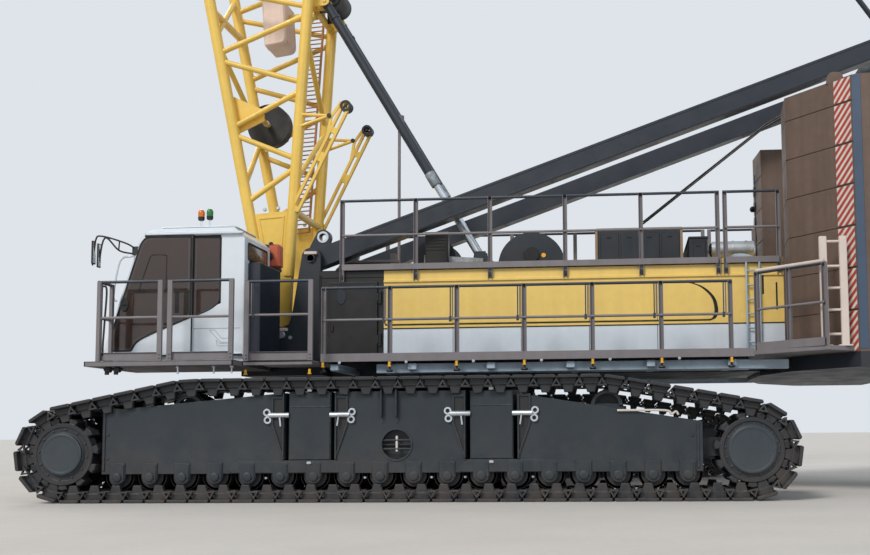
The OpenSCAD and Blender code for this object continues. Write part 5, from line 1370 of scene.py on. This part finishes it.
def build_cab_outside():
    """Mirror arms with their two mirrors, the grab rail at the front corner, the pedestal's lamp boxes."""
    long_arm = [
        (4.13, 2.60, 3.50), (4.228, 2.72, 3.575), (4.54, 2.82, 3.668), (4.624, 2.84, 3.605),
        (4.66, 2.84, 3.25),
    ]
    short_arm = [(4.15, 2.60, 3.44), (4.33, 2.72, 3.475), (4.50, 2.82, 3.64), (4.585, 2.82, 3.22)]
    arms = [
        pipe(smooth_path(long_arm, 6), 0.012),
        pipe(smooth_path(short_arm, 6), 0.012),
        bars((4.33, 2.74, 3.475), (4.32, 2.74, 3.60), 0.010, 8),
        box_at((4.13, 2.62, 3.48), (0.10, 0.05, 0.13), 0.012),
        boxes((4.640, 2.78, 3.27), (4.665, 2.88, 3.60), 0.010),
        boxes((4.565, 2.78, 3.22), (4.588, 2.87, 3.56), 0.010),
    ]
    put("mirror_arms", joined(*arms), BLACK_PLASTIC, "upper")
    faces = [
        boxes((4.637, 2.79, 3.285), (4.641, 2.87, 3.585), 0.001),
        boxes((4.562, 2.79, 3.235), (4.566, 2.86, 3.545), 0.001)
    ]
    put("mirror_faces", joined(*faces), MIRROR, "upper")
    rail = [
        (4.12, 2.60, 3.41), (4.20, 2.63, 3.40), (4.36, 2.63, 3.33), (4.44, 2.63, 2.84), (4.40, 2.60, 2.76),
    ]
    put("cab_grab_rail", pipe(smooth_path(rail, 6), 0.015, 10), CAB_WHITE, "upper")
    put("lamp_box_dark", boxes((2.60, 1.235, 3.42), (2.80, 1.445, 3.745), 0.012), NAVY_PAINT, "upper")
    put("lamp_box_red", boxes((2.41, 1.235, 3.38), (2.60, 1.447, 3.748), 0.03), ORANGE_PAINT, "upper")
    cable = smooth_path([(2.60, 1.465, 3.40), (2.60, 1.48, 3.0), (2.57, 1.48, 2.4), (2.60, 1.47, 1.9)], 6)
    lamp_parts = joined(
        turned([(-0.01, 0.06), (0.02, 0.062), (0.03, 0.05)], (2.56, 1.445, 3.55), Y_AXIS, 24),
        turned([(0, 0.03), (0.03, 0.034), (0.045, 0.02)], (2.57, 1.36, 3.745), Z_AXIS, 20),
        boxes((2.42, 1.28, 3.33), (2.60, 1.42, 3.385), 0.01),
        pipe(cable, 0.018),
    )
    put("lamp_and_cables", lamp_parts, BLACK_PLASTIC, "upper")
    # The sign's pale blue-grey is white paint with painted shade.
    put("pedestal_sign", boxes((2.70, 1.458, 2.80), (2.77, 1.464, 2.87), 0.002), SHADED_WHITE_PAINT, "upper")
    bends = [(0, 1.44, 2.80), (0.02, 1.47, 2.55), (-0.02, 1.47, 2.2), (0, 1.44, 1.9)]
    hoses = [pipe(smooth_path([(x + dx, y, z) for dx, y, z in bends], 6), 0.022, 10) for x in (2.96, 3.01)]
    put("pedestal_hoses", joined(*hoses), BROWN_GRATING, "upper")


def cushion(centre, half, lean=0.0, crown=0.14, square=0.42):
    """A crowned pad: points sgn(cos a)|cos a|^square along each half size, with three sewn channels across
    it."""
    v, u = np.meshgrid(
        np.linspace(-1.5, 1.5, 22), np.linspace(0, 2 * math.pi, 48, endpoint=False), indexing="ij"
    )
    power = lambda c: np.sign(c) * np.abs(c) ** square
    p = np.stack(
        [power(np.cos(v)) * power(np.cos(u)), power(np.cos(v)) * power(np.sin(u)), power(np.sin(v))], -1
    )
    bulge = 1 + crown * (1 - p[..., 0] ** 2) * (1 - p[..., 1] ** 2)
    sewn = 1 - 0.10 * np.exp(-(((p[..., 0] * 2.0 + 0.5) % 1 - 0.5) / 0.07) ** 2)
    p[..., 2] *= bulge * sewn
    p = p * np.asarray(half, float)
    c, s = math.cos(lean), math.sin(lean)
    turn = np.array([[c, 0, s], [0, 1, 0], [-s, 0, c]])
    return skin(p @ turn.T + np.asarray(centre, float))


def build_cab_inside():
    """The operator's seat with its pads, both consoles with levers, the front screen and the floor mat."""
    pads = {
        "seat_pad": cushion((3.27, 2.05, 2.33), (0.25, 0.26, 0.075)),
        "back_pad": cushion((2.99, 2.05, 2.72), (0.33, 0.25, 0.065), lean=-1.47),
        "head_pad": cushion((2.93, 2.05, 3.16), (0.10, 0.14, 0.05), lean=-1.47),
    }
    for name, shape in pads.items():
        pad = put(name, shape, SEAT_FABRIC, "upper", ("cab_seat",) if name == "seat_pad" else ())
    base = [
        boxes((3.08, 1.85, 1.92), (3.42, 2.25, 2.10), 0.02),
        boxes((3.02, 1.81, 2.10), (3.50, 2.29, 2.26), 0.03)
    ]
    base += [boxes((3.00, y - 0.09, 2.30), (3.60, y + 0.09, 2.52), 0.03) for y in (1.70, 2.40)]
    base += [bars((3.50, y, 2.52), (3.54, y, 2.68), 0.014, 10) for y in (1.70, 2.40)]
    base += [
        turned([(-0.05, 0.018), (0.0, 0.026), (0.05, 0.02), (0.06, 0.008)], (3.545, y, 2.72), Z_AXIS, 16)
        for y in (1.70, 2.40)
    ]
    base += [
        boxes((2.965, 1.80, 2.45), (2.985, 2.30, 2.95), 0.01),
        bars((4.10, 1.72, 1.92), (4.02, 1.72, 2.72), 0.02, 10)
    ]
    base += [
        boxes((2.60, 1.56, 1.92), (4.44, 2.54, 1.93), 0.004),
        boxes((3.98, 1.62, 2.70), (4.02, 1.86, 2.98), 0.01)
    ]
    put("seat_frame", joined(*base), BLACK_PLASTIC, "upper")
    put("front_screen", boxes((3.974, 1.63, 2.72), (3.982, 1.85, 2.96), 0.003), CAB_GLASS, "upper")


def build_cab_platform():
    """Plate and edge channels of the cab's platform, its double-post rails, small feet and the pipe
    fittings."""
    x0, x1, y0, y1, low, high = 2.50, 4.60, 1.50, 3.13, 1.80, 1.87
    floor = [boxes((x0, y0, high - 0.012), (x1, y1, high), 0.002)]
    floor += [
        boxes((x0, y1 - 0.02, low), (x1, y1, high - 0.002), 0.003),
        boxes((x1 - 0.02, y0, low), (x1, y1, high - 0.002), 0.003)
    ]
    floor += [
        boxes((x0, y0, low), (x0 + 0.02, y1, high - 0.002), 0.003),
        boxes((x0, y0, low), (x1, y0 + 0.02, high - 0.002), 0.003)
    ]
    ribs = boxes((x0 + 0.01, -0.03, low + 0.005), (x1 - 0.01, 0.03, high - 0.01), 0.004)
    y = np.linspace(1.72, 2.9, 5)
    floor.append(repeated(ribs, np.column_stack([0 * y, y, 0 * y])))
    put("cab_floor", joined(*floor), RAIL_PAINT, "upper", ("cab_platform",))
    y = y1 - 0.032
    runs = [([(x, y, high), (x + 0.865, y, high)], 1.12, 0.60, (0.01, 0.12)) for x in (2.54, 3.545)]
    runs.append(([(4.41, y, high), (4.41, 2.74, high)], 1.12, 0.60, (0.01, 0.12)))
    rails("cab_rail", runs, clips=False, sides=joined)
    hose = [
        (4.38, y - 0.02, 2.92), (4.33, y - 0.03, 2.86), (4.35, y - 0.03, 2.4), (4.36, y - 0.02, 2.0),
        (4.36, y - 0.1, 1.84),
    ]
    fittings = [pipe(smooth_path(hose, 6), 0.014, 8)]
    fittings += [boxes((x - 0.04, 2.98, 1.72), (x + 0.04, 3.06, 1.80), 0.01) for x in (4.17, 4.30)]
    fittings += [bars((x, 3.02, 1.69), (x, 3.02, 1.76), 0.03, 14) for x in (4.19, 4.32)]
    fittings.append(bars((4.36, 3.02, 1.765), (4.10, 3.02, 1.765), 0.022, 12))
    put("cab_pipe_fittings", joined(*fittings), BLACK_PLASTIC, "upper")
    pin = joined(bars((0, 0, -0.11), (0, 0, 0.0), 0.013, 10), bars((0, 0, -0.03), (0, 0, 0.0), 0.028, 12))
    put("cab_feet", repeated(pin, [(x, 3.0, low) for x in (3.32, 2.81, 2.56)]), PIN_STEEL, "upper")


build_cab_glazing()
build_cab_ends()
build_cab_roof()
build_cab_outside()
build_cab_inside()
build_cab_platform()


# Counterweight and rear corner

SLABS, SLAB_FOOT, SLAB_STEP = 6, 1.87, 0.562
WEIGHT_TOPS = (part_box("counterweight_left")[1][2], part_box("counterweight_right")[1][2])
FACE_START = (-5.15, 2.05)


def on_slant(shape):
    """A shape drawn with x along the weights' slanted front face and -y out of it, laid on the left stack."""
    x, y = FACE_START
    return moved(shape, [[-0.6, -0.8, 0, x], [0.8, -0.6, 0, y], [0, 0, 1, 0], [0, 0, 0, 1]])


def stripe(s0, s1, z, wide, z0, z1):
    """A bar of a width that rises at 45 degrees from (s0, z), cut off below z0 and above z1."""
    cuts = s0 + np.array([z0 - z - wide, z0 - z, z1 - z - wide, z1 - z])
    s = np.unique(np.clip(np.append(cuts, [s0, s1]), s0, s1))
    low, high = np.clip(z + s - s0, z0, z1), np.clip(z + wide + s - s0, z0, z1)
    wide_here = high - low > 1e-6
    kept = wide_here | np.append(wide_here[1:], False) | np.append(False, wide_here[:-1])
    flat = np.concatenate([np.stack([s, low], 1)[kept], np.stack([s, high], 1)[kept][::-1]])
    return flat[np.linalg.norm(flat - np.roll(flat, 1, 0), axis=1) > 0.008]


def build_counterweights():
    """Warning stripes on each slab's slanted face, corner strips of painted shade on the stacks' outer
    corners, lifting eyes and the far stack's ear plates."""
    s0, s1, pitch, wide = 0.93, 1.22, 0.115, 0.058
    pale, red = [], []
    for k in range(SLABS + 1):
        z0 = SLAB_FOOT + 0.01 + SLAB_STEP * k
        z1 = min(z0 + 0.53, WEIGHT_TOPS[0] - 0.015)
        pale.append(plate([(s0, z0), (s1, z0), (s1, z1), (s0, z1)], 0.0, -0.004, bevel=0.001))
        for z in np.arange(z0 - (s1 - s0), z1 - 0.01, pitch):
            flat = stripe(s0, s1, z, wide, z0, z1)
            if len(flat) > 2 and np.ptp(flat[:, 0]) > 0.04:
                red.append(plate(flat, -0.003, -0.007, bevel=0.0002))
    put("stripe_plates", both(on_slant(joined(*pale))), PALE_STRIPE, "upper")
    put("stripe_bars", both(on_slant(joined(*red))), RED_STRIPE, "upper")
    # A thin blue-grey strip on each stack's outer corner chamfer: painted shade.
    strip = [(-5.899, 3.049), (-5.998, 3.099), (-6.001, 3.105), (-5.895, 3.055)]
    shape = both(plate(strip, 1.90, WEIGHT_TOPS[0] - 0.01, along="z", bevel=0.001))
    put("weight_corner_shade", shape, CORNER_SHADE_PAINT, "upper")
    eye = plate(
        rounded([(-0.13, -0.02), (0.13, -0.02), (0.09, 0.15), (-0.09, 0.15)], (0.01, 0.01, 0.07, 0.07)),
        -0.02, 0.02
    )
    eyes = [repeated(eye, [(x, y, top) for x in (-5.75, -6.75) for y in (1.75, 2.7)]) for top in WEIGHT_TOPS]
    put("lifting_eyes", joined(eyes[0], mirrored(eyes[1])), WEIGHT_PAINT, "upper")
    z = SLAB_FOOT + SLAB_STEP * (np.arange(2 * SLABS) + 0.5) / 2
    ear = turned([(-0.03, 0.10), (-0.02, 0.11), (0.02, 0.11), (0.03, 0.10)], axis=(1, 0, 0), sides=24)
    ears = [repeated(ear, np.column_stack([0 * z - 5.17, 0 * z - 1.95, z]))]
    ears.append(boxes((-5.20, -2.02, SLAB_FOOT), (-5.15, -1.88, WEIGHT_TOPS[1] - 0.3), 0.006))
    ears.append(turned([(0, 0.05), (0.05, 0.055), (0.08, 0.03)], (-5.15, -1.95, 4.78), (1, 0, 0), 20))
    put("weight_ears", joined(*ears), BLACK_PAINT, "upper")


REAR_DECK_Z = 1.94


def build_rear_access():
    """The corner platform behind the walkway with its rails, and the pale ladder beside the weights."""
    plan = [(-4.60, 1.56), (-5.12, 1.56), (-5.12, 2.02), (-5.83, 2.97), (-5.47, 3.28), (-4.60, 2.43)]
    deck = plate(plan, REAR_DECK_Z - 0.06, REAR_DECK_Z, along="z", bevel=0.006)
    put("rear_deck", both(deck), RAIL_PAINT, "upper", ("rear_access",))
    posts = [(-4.65, 2.40, REAR_DECK_Z), (-5.03, 2.80, REAR_DECK_Z), (-5.43, 3.22, REAR_DECK_Z)]
    rails("rear_rail", [(posts, 1.10, 0.57, (0.0, 0.11))], clips=False)
    top = smooth_path(np.array(posts) + [0, 0, 1.11], 4)
    ladder = [pipe(top, 0.026, 12)]
    stiles = (-5.45, -5.71)
    ladder += [boxes((x - 0.05, 3.02, REAR_DECK_Z), (x + 0.05, 3.08, 3.40), 0.008) for x in stiles]
    ladder += [
        bars((stiles[0], 3.05, z), (stiles[1], 3.05, z), 0.018, 10) for z in (2.10, 2.42, 2.71, 3.0, 3.33)
    ]
    ladder += [
        boxes((x - 0.09, 2.97, REAR_DECK_Z), (x + 0.09, 3.10, REAR_DECK_Z + 0.02), 0.004) for x in stiles
    ]
    put("rear_ladder", both(joined(*ladder)), PALE_PAINT, "upper")


# Winches, clamps and back-stops

HOIST_AT, LUFFING_AT = (-1.38, 0.0, 3.62), (0.20, 0.0, 3.63)


def wound(at, half, r, pitch):
    """Rope wound on a drum: a turned profile of half circles, r + pitch / 2 |sin(pi y / pitch)|."""
    y = np.linspace(-half, half, int(round(2 * half / pitch)) * 6 + 1)
    swell = r + pitch / 2 * np.abs(np.sin(math.pi * (y + half) / pitch))
    profile = np.column_stack([y, swell])
    inner = r - 0.4 * pitch
    return turned(np.vstack([[-half, inner], profile, [half, inner], [-half, inner]]), at, Y_AXIS, 48)


def build_winches():
    """Rope on both drums, bolts round their flanges, and the bearing caps on the winch stands."""
    for name, at, half, r, flange in (
        ("hoist", HOIST_AT, 0.57, 0.245, 0.33), ("luffing", LUFFING_AT, 0.29, 0.235, 0.32)
    ):
        body = name + "_winch"
        put(name + "_rope", wound(at, half, r, 0.028), ROPE, body, crease=80)
        ring = np.column_stack(
            [flange * 0.86 * circle(16)[:, 0], 0 * circle(16)[:, 0], flange * 0.86 * circle(16)[:, 1]]
        )
        shape = both(bolts(ring + at + [0, half + 0.022, 0], Y_AXIS, 0.012, 0.012))
        put(name + "_bolts", shape, PIN_STEEL, body)
    caps = [disc((-1.38, 0.694, 3.62), Y_AXIS, 0.12, 0.04), disc((0.20, 0.414, 3.63), Y_AXIS, 0.10, 0.04)]
    put("winch_caps", both(joined(*caps)), BLACK_PAINT, "upper")
    put("winch_mark", disc((-1.57, 0.678, 3.61), Y_AXIS, 0.035, 0.012, 0.002, 20), GRIP, "upper")


def build_foot_clamps():
    """Keeper plates and round pin heads at the A-frame's foot and the boom's foot, on both brackets."""
    keepers, pins = [], []
    for x, z in ((1.998, 3.575), (2.448, 2.396)):
        keepers.append(boxes((x - 0.10, 1.165, z + 0.035), (x + 0.10, 1.222, z + 0.085), 0.008))
        pins.append(disc((x, 1.185, z - 0.02), Y_AXIS, 0.06, 0.05, 0.008))
    pins.append(disc((2.31, 1.175, 2.33), Y_AXIS, 0.03, 0.02, 0.004, 20))
    put("foot_keepers", both(joined(*keepers)), PALE_PAINT, "upper")
    put("foot_pins", both(joined(*pins)), PIN_STEEL, "upper")


STOP_TOP, STOP_FOOT, STOP_Y = (1.989, 7.894), (-0.557, 3.606), 0.50


def build_back_stops():
    """A zinc collar round each back-stop tube above its mouth, and a ring at the tube's eye."""
    along = unit(np.array([STOP_FOOT[0] - STOP_TOP[0], 0.0, STOP_FOOT[1] - STOP_TOP[1]]))
    collar = [(3.36, 0.076), (3.37, 0.082), (3.59, 0.082), (3.60, 0.076)]
    band = [(0.28, 0.076), (0.285, 0.086), (0.33, 0.086), (0.335, 0.076)]
    for side, y in (("left", STOP_Y), ("right", -STOP_Y)):
        at = (STOP_TOP[0], y, STOP_TOP[1])
        put("backstop_collar_" + side, turned(collar, at, along, 28), ZINC, "backstop_tube_" + side)
        put("backstop_band_" + side, turned(band, at, along, 28), NAVY_PAINT, "backstop_tube_" + side)


# A-frame and stays

A_PIN, A_ANGLE, A_LEN = (1.998, 3.575), math.radians(19.5), 10.10
A_HEAD, STAY_EYE = (-7.523, 6.946), (3.562, 23.372)


def laid(shape, at, towards):
    """A shape drawn with x along a direction (X, Z) and z a quarter turn further, laid with its origin at a
    place."""
    a, b = unit(np.asarray(towards, float))
    return moved(shape, [[a, 0, -b, at[0]], [0, 1, 0, 0], [b, 0, a, at[1]], [0, 0, 0, 1]])


def build_a_frame():
    """Rings round the erection lugs, edge strips along the arms, the thin rods between them, and the stays'
    links."""
    arm = (-math.cos(A_ANGLE), math.sin(A_ANGLE))
    ring = turned(
        [(0, 0.058), (0, 0.095), (0.014, 0.09), (0.014, 0.06), (0, 0.058)], (0.235, 0.958, -0.285), Y_AXIS, 32
    )
    strips = [boxes((0.6, 1.028, z - 0.012), (A_LEN - 0.7, 1.036, z + 0.012), 0.003) for z in (-0.105, 0.139)]
    put("a_frame_rings", both(laid(ring, A_PIN, arm)), PIN_STEEL, "a_frame")
    put("a_frame_strips", both(laid(joined(*strips), A_PIN, arm)), NAVY_PAINT, "a_frame")
    rod = pipe([(-3.138, 0.09, 4.212), (-5.129, 0.09, 5.754), (-6.310, 0.09, 6.426)], 0.014, 8)
    put("a_frame_rods", both(rod), BLACK_PAINT, "a_frame")
    stay = (STAY_EYE[0] - A_HEAD[0], STAY_EYE[1] - A_HEAD[1])
    links = []
    for s in (6.2, 12.4):
        links.append(boxes((s - 0.34, 0.49, -0.06), (s + 0.34, 0.515, 0.06), 0.01))
        links.append(boxes((s - 0.34, 0.605, -0.06), (s + 0.34, 0.63, 0.06), 0.01))
        links += [bars((s + d, 0.48, 0), (s + d, 0.64, 0), 0.034, 20) for d in (-0.24, 0.24)]
    put("stay_links", both(laid(joined(*links), A_HEAD, stay)), NAVY_PAINT, "stays")


# Boom

BOOM_FOOT, BOOM_ANGLE, CHORD_Y = (2.646, 2.385), math.radians(86.0), 0.72
BOOM_SEAMS, FULL_HALF = (7.6, 13.6), 1.0876
GUIDE_FOOT, GUIDE_END = np.array([-0.40, 1.99]), np.array([-1.33, 3.60])


def on_boom(shape):
    """A shape drawn with x towards the boom's front and z along the boom, laid on the boom at rest."""
    return laid(shape, BOOM_FOOT, (math.sin(BOOM_ANGLE), -math.cos(BOOM_ANGLE)))


def half_depth(u):
    """Half the foot section's depth at a distance u along the boom, between its chords' middle lines."""
    return 0.095 + 0.1306 * u


def strip_of(a, b, wide):
    """The outline of a straight flat bar of a width between two points."""
    along = unit(np.asarray(b, float) - np.asarray(a, float))
    side = np.array([-along[1], along[0]]) * wide / 2
    return np.array([a - side, b - side, b + side, a + side])


def build_boom():
    """Web borders with their pins, the ladder inside the far rear chord, section joints, the tank and
    reel."""
    low, high = 1.10, 1.96
    web = [(half_depth(low) - 0.10, low), (half_depth(high) - 0.10, high), (0.10 - half_depth(high), high),
           (0.10 - half_depth(low), low)]
    border = frame_plate(
        inset_outline(web, 0.03), inset_outline(web, 0.055), CHORD_Y + 0.013, CHORD_Y + 0.026
    )
    put("web_borders", both(on_boom(border)), YELLOW_PAINT, "boom")
    pins = [
        turned([(0, 0.03), (0.02, 0.03), (0.03, 0.022)], (v, CHORD_Y, 2.06), Y_AXIS, 16)
        for v in (-0.12, 0.10)
    ]
    put("web_pins", both(on_boom(joined(*pins))), PIN_STEEL, "boom")
    u = np.arange(1.90, 7.40, 0.075)
    near, far = -half_depth(u) + 0.12, -half_depth(u) + 0.37
    rung = np.stack([near, 0 * u - 0.60, u], 1), np.stack([far, 0 * u - 0.60, u], 1)
    ladder = [bars(*rung, 0.011, 8)]
    ladder += [bars(rung[k][0], rung[k][-1], 0.022, 10) for k in (0, 1)]
    put("boom_ladder", on_boom(joined(*ladder)), BROWN_GRATING, "boom")
    joints, joint_pins = [], []
    for seam in BOOM_SEAMS:
        for v in (-FULL_HALF, FULL_HALF):
            for y in (CHORD_Y - 0.11, CHORD_Y + 0.075):
                joints.append(boxes((v - 0.10, y, seam - 0.20), (v + 0.10, y + 0.035, seam + 0.20), 0.02))
            joint_pins += [
                bars((v, CHORD_Y - 0.13, seam + d), (v, CHORD_Y + 0.13, seam + d), 0.04, 20)
                for d in (-0.1, 0.1)
            ]
    put("boom_joints", both(on_boom(joined(*joints))), YELLOW_PAINT, "boom")
    put("boom_joint_pins", both(on_boom(joined(*joint_pins))), PIN_STEEL, "boom")
    body = rounded([(-0.285, 4.93), (0.10, 4.90), (0.10, 5.69), (-0.285, 5.69)], (0.12, 0.06, 0.05, 0.05), 6)
    shape = on_boom(plate(body, -0.295, 0.295, bevel=0.03))
    put("boom_tank_shell", shape, TANK_PAINT, "boom", ("boom_tank",))
    fixings = [boxes((-0.289, y, 4.96), (0.104, y + 0.04, 5.00), 0.003) for y in (-0.2, 0.16)]
    fixings.append(boxes((0.085, -0.03, 4.95), (0.125, 0.03, 5.66), 0.004))
    put("boom_tank_straps", on_boom(joined(*fixings)), PALE_PAINT, "boom")
    flanges = [disc((-1.09, y, 5.624), Y_AXIS, 0.20, 0.02, 0.004, 40) for y in (-0.215, 0.215)]
    flanges += [disc((-1.09, 0, 5.624), Y_AXIS, 0.06, 0.54, 0.008, 24)]
    put("reel_flanges", on_boom(joined(*flanges)), BLACK_PLASTIC, "boom")
    hub = turned([(0.19, 0.05), (0.205, 0.05), (0.215, 0.03)], (0.161, 0, 3.625), Y_AXIS, 20)
    put("guide_sheave_hub", on_boom(hub), PIN_STEEL, "boom")


def build_rope_guides():
    """Slotted arms behind the boom: two bars a side with cross plates, a kinked upper bracket and a
    roller."""
    along = unit(GUIDE_END - GUIDE_FOOT)
    side = np.array([along[1], -along[0]])
    at = lambda t, off: GUIDE_FOOT + along * t + side * off
    length = float(np.linalg.norm(GUIDE_END - GUIDE_FOOT))
    flats = [strip_of(at(0.0, off), at(length + 0.05, off), 0.046) for off in (-0.052, 0.052)]
    ties = [
        strip_of(at(t, -0.06), at(t, 0.06), wide) for t, wide in ((0.03, 0.09), (0.95, 0.16), (1.42, 0.10))
    ]
    bends = [
        (at(1.30, 0.06), at(1.62, 0.15)), (at(1.60, 0.145), at(length, 0.10)),
        (at(length, 0.12), at(length + 0.07, 0.0))
    ]
    arms = [plate(f, y, y + 0.02, bevel=0.003) for f in flats for y in (0.740, 0.780)]
    arms += [plate(f, y, y + 0.012, bevel=0.003) for f in ties for y in (0.744, 0.784)]
    arms += [
        plate(strip_of(*ends, 0.05), 0.752 + 0.006 * k, 0.776 + 0.006 * k, bevel=0.003) for k,
        ends in enumerate(bends)
    ]
    for v, u in ((-0.575, 3.54), (-0.545, 3.34)):
        arms.append(bars((v, 0.77, u), (-1.05, 0.77, 3.47), 0.028, 12))
    put("rope_guide_arms", both(on_boom(joined(*arms))), YELLOW_PAINT, "boom", ("rope_guides",))
    x, z = GUIDE_END
    wheel = [(-0.10, 0.05), (-0.10, 0.09), (0.07, 0.09), (0.07, 0.05), (-0.10, 0.05)]
    rollers = [turned(wheel, (x, 0.74, z), Y_AXIS, 32), bars((x, 0.62, z), (x, 0.815, z), 0.024, 14)]
    rollers.append(bars((-1.05, 0.74, 3.47), (-1.05, 0.80, 3.47), 0.036, 14))
    put("rope_guide_rollers", both(on_boom(joined(*rollers))), BLACK_PLASTIC, "boom")


HOOK_AT, HOOK_SHEAVE_R, FALL_LEN = (5.0516, 0.0, 18.968), 0.33, 3.90


def build_hook_block():
    """Dark sheaves between the yellow cheeks, the rope falls over their rims, and the nuts of the cross
    pin."""
    x, z = HOOK_AT[0], HOOK_AT[2]
    rows = 0.11 * (np.arange(5) - 2)
    wheel = turned([(-0.047, 0.31), (-0.046, 0.334), (0.046, 0.334), (0.047, 0.31)], sides=48)
    put("hook_sheaves", repeated(wheel, [(x, y, z) for y in rows]), PLATFORM_PAINT, "hook_block")
    feet = np.array([(x + s * (HOOK_SHEAVE_R + 0.008), y, z) for s in (-1, 1) for y in rows])
    put("rope_falls", bars(feet, feet + [0, 0, FALL_LEN], 0.0165, 10), ROPE, "hook_block", crease=80)
    nut = turned([(0.30, 0.075), (0.33, 0.075), (0.34, 0.06)], HOOK_AT, Y_AXIS, 6)
    put("hook_nuts", both(nut), PIN_STEEL, "hook_block")


build_counterweights()
build_rear_access()
build_hook_block()
build_winches()
build_foot_clamps()
build_back_stops()
build_a_frame()
build_boom()
build_rope_guides()
